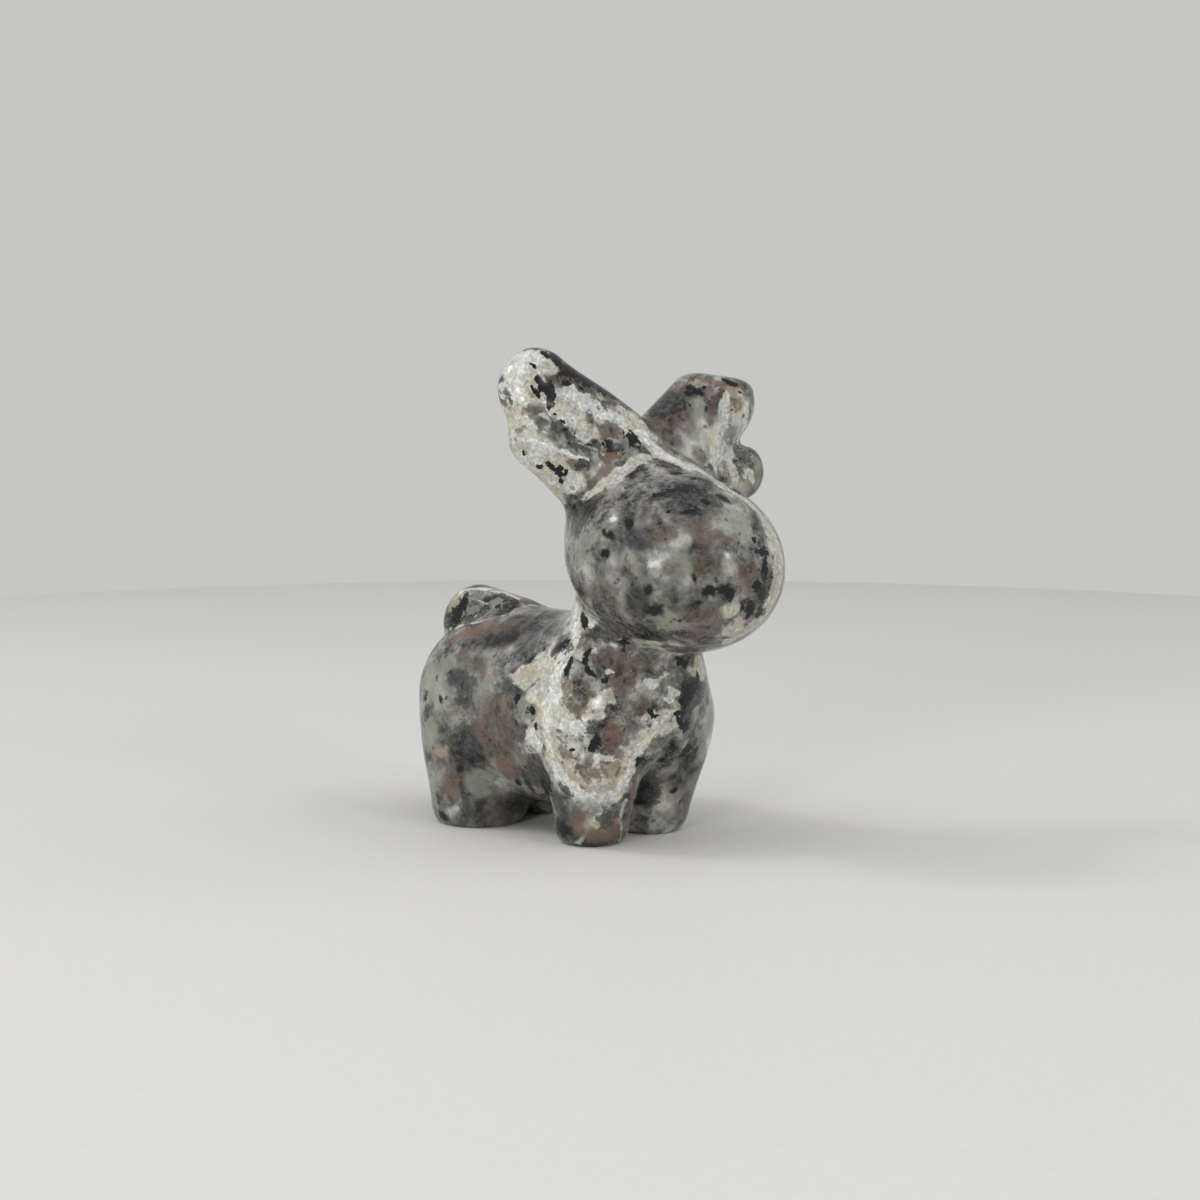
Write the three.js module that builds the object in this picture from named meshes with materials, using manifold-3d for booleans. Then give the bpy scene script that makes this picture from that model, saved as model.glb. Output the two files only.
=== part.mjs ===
import * as THREE from "three";
import { mergeVertices } from "three/addons/utils/BufferGeometryUtils.js";
import Module from "manifold-3d";

// A small reindeer ground from one piece of speckled stone and polished.
// It faces -Y, so its left side is +X, and it stands on Z = 0.
// Sizes are in millimetres and turns in degrees. The animal is described by plain rounded
// forms that melt into each other, as the wheel and the polishing left them.

// Trunk: a lying round bar with two round ends
const bellyClearance = 2.2; // floor to the lowest line of the belly
const girthFront = 9.5; // radius behind the shoulders
const girthRear = 9.7; // radius at the hips
const trunkSpan = 8; // between the centres of the two round ends
const trunkSetBack = 1.4; // the trunk's middle lies behind the middle of the stance

// Chest and haunches
const chestForward = 0.6; // ahead of the front soles
const chestRise = 2.4; // above the trunk's axis
const chestHalfWidth = 8.4;
const chestHalfDepth = 6.8;
const chestHalfHeight = 6.6;
const haunchSpread = 3; // sideways from the middle
const haunchBack = 1.7; // behind the rear soles
const haunchRise = 0.7;
const haunchHalfWidth = 5.8;
const haunchHalfDepth = 6.8;

// Legs: stout columns that widen upwards
const soleSpacing = 15; // front soles to rear soles
const frontStance = 4; // middle to the centre of a front sole
const frontSoleRadius = 3.6;
const shoulderSpread = 4.65;
const shoulderForward = 1;
const shoulderDrop = 0.3; // below the trunk's axis
const shoulderRadius = 5.25;
const rearStance = 4.85;
const rearSoleRadius = 4.85;
const thighSpread = 4.3;
const thighBack = 0.3;
const thighDrop = 2.5;
const thighRadius = 6.1;
const soleRounding = 2; // width of the rounding round each sole

// Cleft ground between the front legs, up to the chest
const cleftTopHeight = 8.9;
const cleftTopForward = 7.3; // ahead of the front soles
const cleftFootForward = 4.3;
const cleftTopRadius = 0.8;
const cleftFootRadius = 3;
const cleftNarrowing = 0.34; // its width is this share of its depth

// Neck, from the chest up into the head
const neckRise = 9.1;
const neckForward = 1.7;
const neckRootRadius = 7;
const neckTopRadius = 6;

// Tail: a short upright leaf on the rump
const tailRootForward = 0.4; // ahead of the rear soles
const tailRootRise = 6.5; // above the trunk's axis
const tailRootRadius = 4;
const tailTipBack = 5.2;
const tailTipRise = 7.1;
const tailTipRadius = 4.2;
const tailNarrowing = 0.85;
const tailFlatHalf = 2.55; // its two sides are ground flat this far from the middle

// Head: one smooth egg with a crown behind it, turned a little to its right and tipped
const headSide = -1; // from the neck's top to the egg's centre
const headForward = 5.7;
const headRise = 4.45;
const headTurn = -7;
const headTilt = 4;
const headNod = 12;
const headHalfWidth = 9.9;
const headHalfLength = 11.25;
const headHalfHeight = 8.5;
const crownBack = 6.4; // from the egg's centre
const crownRise = 5.3;
const crownHalfWidth = 6.2;
const crownHalfDepth = 6.4;
const crownHalfHeight = 6.7;

// Antlers: flat leaves of an upper beam and a lower tine. Out, back and up are measured
// from the egg's centre, square to the tipped head. The two were ground by eye and differ.
const antlerFlatness = 0.72; // depth as a share of width
const rightBeamRoot = { out: 3.2, back: 6.2, up: 9.7, radius: 4.5 };
const rightBeamTip = { out: 11, back: 8.2, up: 15.2, radius: 3.8 };
const rightTineRoot = { out: 4, back: 5.6, up: 6.4, radius: 4.2 };
const rightTineTip = { out: 11.2, back: 7, up: 10.7, radius: 3.05 };
const leftBeamRoot = { out: 3.2, back: 6.4, up: 9.2, radius: 4.6 };
const leftBeamTip = { out: 9.5, back: 6.3, up: 14.8, radius: 4.4 };
const leftTineRoot = { out: 4.2, back: 5.6, up: 6.2, radius: 4.5 };
const leftTineTip = { out: 12.8, back: 6, up: 8.3, radius: 2.75 };
const leftBeamTop = 18.2; // the left beam is ground flat at this height above the egg's centre
const leftBeamTopSlope = 7; // and the flat falls outwards by this angle

// Widths over which neighbouring forms melt together
const trunkBlend = 2.5;
const legBlend = 1.2;
const legPairBlend = 0.5;
const neckBlend = 3;
const tailBlend = 0.8;
const tailFlatEdge = 0.8;
const crownBlend = 3;
const tineBlend = 1.6;
const antlerBlend = 1.6;
const headBlend = 1;
const cleftBlend = 1.6;
const middleRounding = 0.2; // softens the line where the two halves of a mirrored form meet

// Facets of the model
const cellSize = 1.12;
const settlingRounds = 3;
const belowFloor = 0.3; // the rounding round the soles begins this far below the floor

const axisX = new THREE.Vector3(1, 0, 0);
const axisY = new THREE.Vector3(0, 1, 0);
const reach = new THREE.Box3(); // the space that all the forms take

// Each form is a function of a point that gives its distance, below zero inside the form.

// Lesser of two distances, rounded off where they differ by less than the width
function join(width, first, second) {
  const nearness = Math.max(width - Math.abs(first - second), 0) / width;
  return Math.min(first, second) - (nearness * nearness * width) / 4;
}

const cut = (width, form, tool) => -join(width, -form, tool);

function reserve(centre, radius) {
  reach.union(new THREE.Box3().setFromCenterAndSize(centre, new THREE.Vector3().setScalar(2 * radius)));
}

// An ellipsoid, by its scaled distance divided by the slope of that distance
function ellipsoid(centre, radii, turn = new THREE.Quaternion()) {
  const largest = Math.max(radii.x, radii.y, radii.z);
  const back = turn.clone().invert();
  const q = new THREE.Vector3();
  reserve(centre, largest);
  return (p) => {
    q.copy(p).sub(centre).applyQuaternion(back).divide(radii);
    const scaled = q.length();
    const slope = q.divide(radii).length();
    return slope > 0 ? (scaled * (scaled - 1)) / slope : -largest;
  };
}

// A round-ended bar whose radius eases from root to tip, flattened along one side
function limb(root, tip, rootRadius, tipRadius, flatness = 1, side = axisX) {
  const along = tip.clone().sub(root).normalize();
  const length = tip.distanceTo(root);
  const thin = side.clone().addScaledVector(along, -along.dot(side)).normalize();
  const wide = thin.clone().cross(along);
  const q = new THREE.Vector3();
  reserve(root, rootRadius);
  reserve(tip, tipRadius);
  return (p) => {
    q.copy(p).sub(root);
    const height = q.dot(along);
    const share = THREE.MathUtils.clamp(height / length, 0, 1);
    const ease = THREE.MathUtils.smoothstep(share, 0, 1);
    const radius = THREE.MathUtils.lerp(rootRadius, tipRadius, ease);
    const away = Math.hypot(q.dot(wide), q.dot(thin) / flatness, height - share * length);
    return ((away - radius) * (1 + flatness)) / 2;
  };
}

// The same form on both sides of the middle plane
function mirrored(form) {
  const q = new THREE.Vector3();
  reach.union(new THREE.Box3(
    new THREE.Vector3(-reach.max.x, reach.min.y, reach.min.z),
    reach.max,
  ));
  return (p) => form(q.set(Math.hypot(p.x, middleRounding), p.y, p.z));
}

// Places that the forms share
const frontSoleY = -soleSpacing / 2;
const rearSoleY = soleSpacing / 2;
const trunkHeight = bellyClearance + girthFront;
const chestCentre = new THREE.Vector3(0, frontSoleY - chestForward, trunkHeight + chestRise);
const neckTop = new THREE.Vector3(0, chestCentre.y - neckForward, chestCentre.z + neckRise);
const headCentre = neckTop.clone().add(new THREE.Vector3(headSide, -headForward, headRise));
const toRadians = THREE.MathUtils.degToRad;
const headPose = new THREE.Quaternion().setFromEuler(
  new THREE.Euler(0, toRadians(headTilt), toRadians(headTurn), "ZYX"),
);

function makeTrunk() {
  const front = new THREE.Vector3(0, trunkSetBack - trunkSpan / 2, trunkHeight);
  const rear = new THREE.Vector3(0, trunkSetBack + trunkSpan / 2, trunkHeight);
  const barrel = limb(front, rear, girthFront, girthRear);
  const chest = ellipsoid(chestCentre, new THREE.Vector3(chestHalfWidth, chestHalfDepth, chestHalfHeight));
  const haunch = mirrored(ellipsoid(
    new THREE.Vector3(haunchSpread, rearSoleY + haunchBack, trunkHeight + haunchRise),
    new THREE.Vector3(haunchHalfWidth, haunchHalfDepth, haunchHalfDepth),
  ));
  return (p) => join(trunkBlend, join(trunkBlend, barrel(p), chest(p)), haunch(p));
}

function makeLegs() {
  const front = mirrored(limb(
    new THREE.Vector3(shoulderSpread, frontSoleY - shoulderForward, trunkHeight - shoulderDrop),
    new THREE.Vector3(frontStance, frontSoleY, 0),
    shoulderRadius,
    frontSoleRadius,
  ));
  const rear = mirrored(limb(
    new THREE.Vector3(thighSpread, rearSoleY + thighBack, trunkHeight - thighDrop),
    new THREE.Vector3(rearStance, rearSoleY, 0),
    thighRadius,
    rearSoleRadius,
  ));
  return (p) => join(legPairBlend, front(p), rear(p));
}

function makeCleft() {
  return limb(
    new THREE.Vector3(0, frontSoleY - cleftTopForward, cleftTopHeight),
    new THREE.Vector3(0, frontSoleY - cleftFootForward, 0),
    cleftTopRadius,
    cleftFootRadius,
    cleftNarrowing,
  );
}

function makeTail() {
  const leaf = limb(
    new THREE.Vector3(0, rearSoleY - tailRootForward, trunkHeight + tailRootRise),
    new THREE.Vector3(0, rearSoleY + tailTipBack, trunkHeight + tailTipRise),
    tailRootRadius,
    tailTipRadius,
    tailNarrowing,
  );
  return (p) => cut(tailFlatEdge, leaf(p), tailFlatHalf - Math.abs(p.x));
}

const inHead = (x, y, z) => new THREE.Vector3(x, y, z).applyQuaternion(headPose).add(headCentre);

function makeAntler(side, beamRoot, beamTip, tineRoot, tineTip) {
  const depthWay = axisY.clone().applyQuaternion(headPose);
  const [beam, tine] = [[beamRoot, beamTip], [tineRoot, tineTip]].map(([root, tip]) => limb(
    inHead(side * root.out, root.back, root.up),
    inHead(side * tip.out, tip.back, tip.up),
    root.radius,
    tip.radius,
    antlerFlatness,
    depthWay,
  ));
  return (p) => join(tineBlend, beam(p), tine(p));
}

function makeHead() {
  const nod = new THREE.Quaternion().setFromAxisAngle(axisX, toRadians(headNod));
  const eggPose = headPose.clone().multiply(nod);
  const eggHalves = new THREE.Vector3(headHalfWidth, headHalfLength, headHalfHeight);
  const egg = ellipsoid(headCentre, eggHalves, eggPose);
  const crown = ellipsoid(
    inHead(0, crownBack, crownRise),
    new THREE.Vector3(crownHalfWidth, crownHalfDepth, crownHalfHeight),
    headPose,
  );
  const right = makeAntler(-1, rightBeamRoot, rightBeamTip, rightTineRoot, rightTineTip);
  const left = makeAntler(1, leftBeamRoot, leftBeamTip, leftTineRoot, leftTineTip);
  const slope = toRadians(leftBeamTopSlope);
  const topNormal = new THREE.Vector3(Math.sin(slope), 0, Math.cos(slope)).applyQuaternion(headPose);
  const topOffset = -topNormal.dot(headCentre) - leftBeamTop;
  const topPlane = new THREE.Plane(topNormal, topOffset);
  return (p) => {
    const skull = join(crownBlend, egg(p), crown(p));
    const leftCut = cut(soleRounding, left(p), -topPlane.distanceToPoint(p));
    return join(antlerBlend, skull, join(headBlend, right(p), leftCut));
  };
}

function makeReindeer() {
  const trunk = makeTrunk();
  const legs = makeLegs();
  const neck = limb(chestCentre, neckTop, neckRootRadius, neckTopRadius);
  const tail = makeTail();
  const head = makeHead();
  const cleft = makeCleft();
  return (p) => {
    const body = join(neckBlend, join(legBlend, trunk(p), legs(p)), neck(p));
    const withTail = join(tailBlend, cut(cleftBlend, body, cleft(p)), tail(p));
    const animal = join(headBlend, withTail, head(p));
    return cut(soleRounding, animal, p.z + belowFloor);
  };
}

// Corners of a cell are numbered by their bits: 1 for +X, 2 for +Y and 4 for +Z.
const cellEdges = [];
for (const axis of [1, 2, 4]) {
  for (let corner = 0; corner < 8; corner += 1) {
    if (!(corner & axis)) cellEdges.push([corner, corner | axis]);
  }
}
const edgeNumber = (a, b) => cellEdges.findIndex((edge) => edge.includes(a) && edge.includes(b));
const cellFaces = [];
for (const [u, v, w] of [[1, 2, 4], [2, 4, 1], [4, 1, 2]]) {
  for (const base of [0, w]) cellFaces.push([base, base | u, base | u | v, base | v]);
}

// Which of a cell's crossed edges belong together: on each face the surface's line cuts off
// every inside corner by itself, so that neighbouring cells always agree.
function surfaceSheets(inside) {
  const sheet = cellEdges.map((_, index) => index);
  const find = (index) => (sheet[index] === index ? index : find(sheet[index]));
  for (const face of cellFaces) {
    const crossed = face.map((corner, n) => [corner, face[(n + 1) % 4]])
      .filter(([a, b]) => inside[a] !== inside[b])
      .map(([a, b]) => edgeNumber(a, b));
    if (crossed.length === 2) sheet[find(crossed[0])] = find(crossed[1]);
    if (crossed.length < 4) continue;
    face.forEach((corner, n) => {
      if (!inside[corner]) return;
      const before = edgeNumber(face[(n + 3) % 4], corner);
      const after = edgeNumber(corner, face[(n + 1) % 4]);
      sheet[find(before)] = find(after);
    });
  }
  return cellEdges.map((_, index) => find(index));
}

// The surface of a form: one point for each sheet in each cell, joined across crossed edges
function surfaceOf(form) {
  const room = reach.clone().expandByScalar(cellSize);
  const size = room.getSize(new THREE.Vector3());
  const count = [size.x, size.y, size.z].map((length) => Math.ceil(length / cellSize) + 1);
  const stride = [1, count[0], count[0] * count[1]];
  const place = (i, j, k) => new THREE.Vector3(i, j, k).multiplyScalar(cellSize).add(room.min);
  const values = new Float64Array(count[0] * count[1] * count[2]);
  for (let k = 0; k < count[2]; k += 1) {
    for (let j = 0; j < count[1]; j += 1) {
      for (let i = 0; i < count[0]; i += 1) values[i + j * stride[1] + k * stride[2]] = form(place(i, j, k));
    }
  }

  const points = [];
  const pointOfEdge = new Map(); // from a cell's number to the point of each of its edges
  for (let k = 0; k < count[2] - 1; k += 1) {
    for (let j = 0; j < count[1] - 1; j += 1) {
      for (let i = 0; i < count[0] - 1; i += 1) {
        const cell = i + j * stride[1] + k * stride[2];
        const corners = [0, 1, 2, 3, 4, 5, 6, 7].map((bits) => [bits & 1, (bits >> 1) & 1, bits >> 2]);
        const depth = corners.map(([a, b, c]) => values[cell + a + b * stride[1] + c * stride[2]]);
        const inside = depth.map((value) => value < 0);
        if (inside.every((one) => one === inside[0])) continue;
        const sheets = surfaceSheets(inside);
        const found = new Map();
        cellEdges.forEach(([a, b], edge) => {
          if (inside[a] === inside[b]) return;
          const from = place(i + corners[a][0], j + corners[a][1], k + corners[a][2]);
          const to = place(i + corners[b][0], j + corners[b][1], k + corners[b][2]);
          const crossing = from.lerp(to, depth[a] / (depth[a] - depth[b]));
          if (!found.has(sheets[edge])) found.set(sheets[edge], { sum: new THREE.Vector3(), edges: [] });
          found.get(sheets[edge]).sum.add(crossing);
          found.get(sheets[edge]).edges.push(edge);
        });
        const own = new Array(cellEdges.length);
        for (const { sum, edges } of found.values()) {
          for (const edge of edges) own[edge] = points.length;
          points.push(sum.divideScalar(edges.length));
        }
        pointOfEdge.set(cell, own);
      }
    }
  }

  // The four cells round a crossed edge, in turn, with the number that the edge has in each
  const turns = [[0, 1, 2], [1, 2, 0], [2, 0, 1]].map(([axis, u, v]) => [[0, 0], [1, 0], [1, 1], [0, 1]].map(
    ([a, b]) => ({
      step: -(a * stride[u] + b * stride[v]),
      edge: edgeNumber((a << u) | (b << v), (a << u) | (b << v) | (1 << axis)),
    }),
  ));
  const triangles = [];
  for (let cell = 0; cell < values.length; cell += 1) {
    turns.forEach((around, axis) => {
      const next = values[cell + stride[axis]];
      if (next === undefined || values[cell] < 0 === next < 0) return;
      const cells = around.map(({ step, edge }) => pointOfEdge.get(cell + step)?.[edge]);
      if (cells.includes(undefined)) return;
      const [a, b, c, d] = values[cell] < 0 ? cells : cells.reverse();
      const shortWay = points[a].distanceTo(points[c]) < points[b].distanceTo(points[d]);
      triangles.push(...(shortWay ? [a, b, c, a, c, d] : [a, b, d, b, c, d]));
    });
  }
  return { points, triangles };
}

// Move a point along the steepest way until the form's distance there is nothing
function settle(point, form) {
  const probe = new THREE.Vector3();
  const slope = new THREE.Vector3();
  const nearby = cellSize / 50;
  const steps = 4;
  for (let step = 0; step < steps; step += 1) {
    for (let axis = 0; axis < 3; axis += 1) {
      const along = point.getComponent(axis);
      const ahead = form(probe.copy(point).setComponent(axis, along + nearby));
      const behind = form(probe.copy(point).setComponent(axis, along - nearby));
      slope.setComponent(axis, (ahead - behind) / (2 * nearby));
    }
    point.addScaledVector(slope, -form(point) / slope.lengthSq());
  }
}

// Even out the facets: each point goes to the middle of its neighbours, then back to the surface
function smoothFacets(points, triangles, form) {
  points.forEach((point) => settle(point, form));
  for (let round = 0; round < settlingRounds; round += 1) {
    const sums = points.map(() => new THREE.Vector3());
    const counts = new Uint16Array(points.length);
    for (let t = 0; t < triangles.length; t += 3) {
      for (let n = 0; n < 3; n += 1) {
        sums[triangles[t + n]].add(points[triangles[t + ((n + 1) % 3)]]);
        counts[triangles[t + n]] += 1;
      }
    }
    points.forEach((point, index) => {
      point.lerp(sums[index].divideScalar(counts[index]), 0.5);
      settle(point, form);
    });
  }
}

const wasm = await Module();
wasm.setup();

function solidOf(geometry) {
  const bare = new THREE.BufferGeometry();
  bare.setAttribute("position", geometry.getAttribute("position"));
  bare.setIndex(geometry.getIndex());
  const merged = mergeVertices(bare);
  return new wasm.Manifold(new wasm.Mesh({
    numProp: 3,
    vertProperties: merged.getAttribute("position").array,
    triVerts: new Uint32Array(merged.getIndex().array),
  }));
}

function geometryOf(solid) {
  const mesh = solid.getMesh();
  const geometry = new THREE.BufferGeometry();
  geometry.setAttribute("position", new THREE.BufferAttribute(mesh.vertProperties, 3));
  geometry.setIndex(new THREE.BufferAttribute(mesh.triVerts, 1));
  geometry.computeVertexNormals();
  return geometry;
}

// The carving, with its four soles cut flat on the floor
function makeCarving() {
  const form = makeReindeer();
  const { points, triangles } = surfaceOf(form);
  smoothFacets(points, triangles, form);
  const rough = new THREE.BufferGeometry().setFromPoints(points);
  rough.setIndex(triangles);
  const size = reach.getSize(new THREE.Vector3());
  const middle = reach.getCenter(new THREE.Vector3());
  const block = new THREE.BoxGeometry(2 * size.x, 2 * size.y, size.z);
  block.translate(middle.x, middle.y, -size.z / 2);
  const carved = solidOf(rough).subtract(solidOf(block));
  const material = new THREE.MeshStandardMaterial({ color: 0x8c8880, roughness: 0.3, metalness: 0 });
  const mesh = new THREE.Mesh(geometryOf(carved), material);
  mesh.name = "reindeer_carving";
  return mesh;
}

// The origin is the middle of the space that the carving takes, on the floor
const carving = makeCarving();
const space = new THREE.Box3().setFromObject(carving);
const middle = space.getCenter(new THREE.Vector3());
carving.position.set(-middle.x, -middle.y, 0);

const reindeer = new THREE.Group();
reindeer.add(carving);

export default reindeer;
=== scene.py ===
import bpy
import numpy as np
from mathutils import Matrix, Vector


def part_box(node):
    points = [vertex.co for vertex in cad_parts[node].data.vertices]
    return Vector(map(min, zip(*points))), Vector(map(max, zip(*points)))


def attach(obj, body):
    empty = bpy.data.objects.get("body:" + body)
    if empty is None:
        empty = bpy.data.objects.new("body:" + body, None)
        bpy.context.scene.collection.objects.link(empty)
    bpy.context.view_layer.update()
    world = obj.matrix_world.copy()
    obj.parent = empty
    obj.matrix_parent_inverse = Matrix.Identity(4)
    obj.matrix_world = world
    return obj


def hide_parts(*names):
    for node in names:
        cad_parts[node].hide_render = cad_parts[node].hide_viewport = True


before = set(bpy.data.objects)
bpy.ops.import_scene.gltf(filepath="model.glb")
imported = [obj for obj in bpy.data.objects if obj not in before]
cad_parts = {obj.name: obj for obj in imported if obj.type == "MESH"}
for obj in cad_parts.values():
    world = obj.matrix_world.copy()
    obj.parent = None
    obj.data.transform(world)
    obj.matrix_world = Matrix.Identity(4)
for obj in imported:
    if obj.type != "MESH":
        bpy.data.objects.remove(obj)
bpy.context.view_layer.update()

# A small reindeer ground from one speckled stone and polished. It faces -Y, its left is +X.
# The dictionaries hold millimetres and degrees, and everything in the scene is in metres.
mm = 0.001
tiny = 1e-6  # the least that is divided by
cadLow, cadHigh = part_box("reindeer_carving")

# The view looks at the middle of the feet from the animal's front right, a little from above.
# It takes in size mm each way there, and across and down are measured in that plane from its
# upper left corner.
view = {
    "azimuth": -45,
    "elevation": 6.7,
    "distance": 240,
    "size": 120,
    "feetAcross": 56.7,
    "feetDown": 82.3,
    "sensor": 36,
    "clipStart": 10,
}

# The forms of the carving, as distances that are below zero inside
trunk = {
    "bellyClearance": 2.2,
    "girthFront": 9.5,
    "girthRear": 9.7,
    "span": 8,
    "setBack": 1.4,
    "chestForward": 0.6,
    "chestRise": 2.4,
    "chestHalves": (8.4, 6.8, 6.6),
    "haunchSpread": 3,
    "haunchBack": 1.7,
    "haunchRise": 0.7,
    "haunchHalves": (5.8, 6.8, 6.8),
    "blend": 2.5,
}
legs = {
    "soleSpacing": 15,
    "frontStance": 4,
    "frontSoleRadius": 3.6,
    "shoulderSpread": 4.65,
    "shoulderForward": 1,
    "shoulderDrop": 0.3,
    "shoulderRadius": 5.25,
    "rearStance": 4.85,
    "rearSoleRadius": 4.85,
    "thighSpread": 4.3,
    "thighBack": 0.3,
    "thighDrop": 2.5,
    "thighRadius": 6.1,
    "soleRounding": 2,
    "belowFloor": 0.3,
    "pairBlend": 0.5,
    "blend": 1.2,
    "middleRounding": 0.2,
}
cleft = {
    "topHeight": 8.9,
    "topForward": 7.3,
    "footForward": 4.3,
    "topRadius": 0.8,
    "footRadius": 3,
    "narrowing": 0.34,
    "blend": 1.6,
}
neck = {"rise": 9.1, "forward": 1.7, "rootRadius": 7, "topRadius": 6, "blend": 3}
tail = {
    "rootForward": 0.4,
    "rootRise": 6.5,
    "rootRadius": 4,
    "tipBack": 5.2,
    "tipRise": 7.1,
    "tipRadius": 4.2,
    "narrowing": 0.85,
    "flatHalf": 2.55,  # its two sides are ground flat this far from the middle
    "flatEdge": 0.45,
    "blend": 0.8,
}
head = {
    "side": -1,
    "forward": 5.7,
    "rise": 4.45,
    "turn": -7,
    "tilt": 4,
    "nod": 12,
    "halves": (9.9, 11.25, 8.5),
    "crownBack": 6.4,
    "crownRise": 5.3,
    "crownHalves": (6.2, 6.4, 6.7),
    "crownBlend": 3,
    "blend": 1,
}
# Out, back, up and radius of each end, from the egg of the head
antlers = {
    "flatness": 0.72,
    "rightBeam": ((3.2, 6.2, 9.7, 4.5), (11, 8.2, 15.2, 3.8)),
    "rightTine": ((4, 5.6, 6.4, 4.2), (11.2, 7, 10.7, 3.05)),
    "leftBeam": ((3.2, 6.4, 9.2, 4.6), (9.2, 6.3, 15.0, 4.4)),
    "leftTine": ((4.2, 5.6, 6.2, 4.5), (12.8, 6, 8.3, 2.75)),
    "leftTop": 18.2,
    "leftTopSlope": 4,
    "topRounding": 1.2,
    "tineBlend": 1.6,
    "blend": 1.6,
}
handwork = {
    "cell": 0.28,  # spacing of the fine surface's points
    "cellsBelowFloor": 3,
    "roughCell": 2,  # spacing of the grid that finds the space the carving takes
    "roughMargin": 2,  # cells of that grid left free round it
    "searchShare": 0.75,  # how far it looks from the middle, as a share of the CAD sizes
    "unevenness": 0.09,  # how far grinding by hand left the surface off the plain forms
    "unevennessLength": 8,
    "unevenWaves": 7,
    "rounds": 3,
    "settleSteps": 2,
    "probesInCell": 10,
    "seed": 11,
}


def join(width, first, second):
    # The lesser of two distances, less a quarter of the width where they are equal,
    # falling off with the square of their difference to nothing one width apart
    nearness = np.maximum(width - np.abs(first - second), 0) / width
    return np.minimum(first, second) - nearness * nearness * width / 4


def cut(width, form, tool):
    # What a tool leaves of a form: minus the join of the tool and the form turned inside out
    return -join(width, -form, tool)


def turnAbout(axis, degrees):
    # Rotation by an angle about x (0), y (1) or z (2)
    c, s = np.cos(np.radians(degrees)), np.sin(np.radians(degrees))
    matrix = np.eye(3)
    u, v = (axis + 1) % 3, (axis + 2) % 3
    matrix[u, u], matrix[u, v], matrix[v, u], matrix[v, v] = c, -s, s, c
    return matrix


def ellipsoid(p, centre, halves, pose=np.eye(3)):
    # Distance from the centre in half widths, less one, over the slope of that distance
    q = (p - np.array(centre)) @ pose / np.array(halves)
    scaled = np.sqrt((q * q).sum(-1))
    q = q / np.array(halves)
    slope = np.sqrt((q * q).sum(-1))
    return scaled * (scaled - 1) / np.maximum(slope, tiny)


def limb(p, root, tip, rootRadius, tipRadius, flatness=1, side=(1, 0, 0)):
    # Distance from the line root-tip, flattened along one side, less a radius that eases
    # from one end to the other as 3t2 - 2t3
    root, tip, side = (np.array(v, float) for v in (root, tip, side))
    length = np.linalg.norm(tip - root)
    along = (tip - root) / length
    thin = side - side.dot(along) * along
    thin /= np.linalg.norm(thin)
    wide = np.cross(thin, along)
    q = p - root
    height = q @ along
    share = np.clip(height / length, 0, 1)
    radius = rootRadius + (tipRadius - rootRadius) * share * share * (3 - 2 * share)
    away = np.sqrt((q @ wide) ** 2 + (q @ thin / flatness) ** 2 + (height - share * length) ** 2)
    return (away - radius) * (1 + flatness) / 2


frontSoleY = -legs["soleSpacing"] / 2
rearSoleY = legs["soleSpacing"] / 2
trunkHeight = trunk["bellyClearance"] + trunk["girthFront"]
chestCentre = np.array([0, frontSoleY - trunk["chestForward"], trunkHeight + trunk["chestRise"]])
neckTop = chestCentre + [0, -neck["forward"], neck["rise"]]
headCentre = neckTop + [head["side"], -head["forward"], head["rise"]]
headPose = turnAbout(2, head["turn"]) @ turnAbout(1, head["tilt"])


def trunkForm(p, mirrored):
    # A limb from shoulders to hips, joined with an egg for the chest and one for each haunch
    t = trunk
    front, rear = ((0, t["setBack"] + way * t["span"] / 2, trunkHeight) for way in (-1, 1))
    barrel = limb(p, front, rear, t["girthFront"], t["girthRear"])
    chest = ellipsoid(p, chestCentre, t["chestHalves"])
    haunchCentre = (t["haunchSpread"], rearSoleY + t["haunchBack"], trunkHeight + t["haunchRise"])
    haunch = ellipsoid(mirrored, haunchCentre, t["haunchHalves"])
    return join(t["blend"], join(t["blend"], barrel, chest), haunch)


def legForm(mirrored):
    # A front and a rear limb, each from its wide top down to its sole
    g = legs
    shoulder = (g["shoulderSpread"], frontSoleY - g["shoulderForward"], trunkHeight - g["shoulderDrop"])
    thigh = (g["thighSpread"], rearSoleY + g["thighBack"], trunkHeight - g["thighDrop"])
    frontSole, rearSole = (g["frontStance"], frontSoleY, 0), (g["rearStance"], rearSoleY, 0)
    front = limb(mirrored, shoulder, frontSole, g["shoulderRadius"], g["frontSoleRadius"])
    rear = limb(mirrored, thigh, rearSole, g["thighRadius"], g["rearSoleRadius"])
    return join(g["pairBlend"], front, rear)


def cleftForm(p):
    # A thin limb that leans forward from between the front soles up to the chest
    c = cleft
    top, foot = (0, frontSoleY - c["topForward"], c["topHeight"]), (0, frontSoleY - c["footForward"], 0)
    return limb(p, top, foot, c["topRadius"], c["footRadius"], c["narrowing"])


def tailForm(p, mirrored):
    # A short limb, cut flat on both sides
    t = tail
    root = (0, rearSoleY - t["rootForward"], trunkHeight + t["rootRise"])
    tip = (0, rearSoleY + t["tipBack"], trunkHeight + t["tipRise"])
    leaf = limb(p, root, tip, t["rootRadius"], t["tipRadius"], t["narrowing"])
    return cut(t["flatEdge"], leaf, t["flatHalf"] - mirrored[:, 0])


def antlerForm(p, side, beam, tine):
    # Two flattened limbs out of the head, the beam and its tine, joined
    def inHead(end):
        return headPose @ np.array([side * end[0], end[1], end[2]]) + headCentre

    depthWay = headPose[:, 1]
    parts = [
        limb(p, inHead(root), inHead(tip), root[3], tip[3], antlers["flatness"], depthWay)
        for root, tip in (beam, tine)
    ]
    return join(antlers["tineBlend"], *parts)


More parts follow.
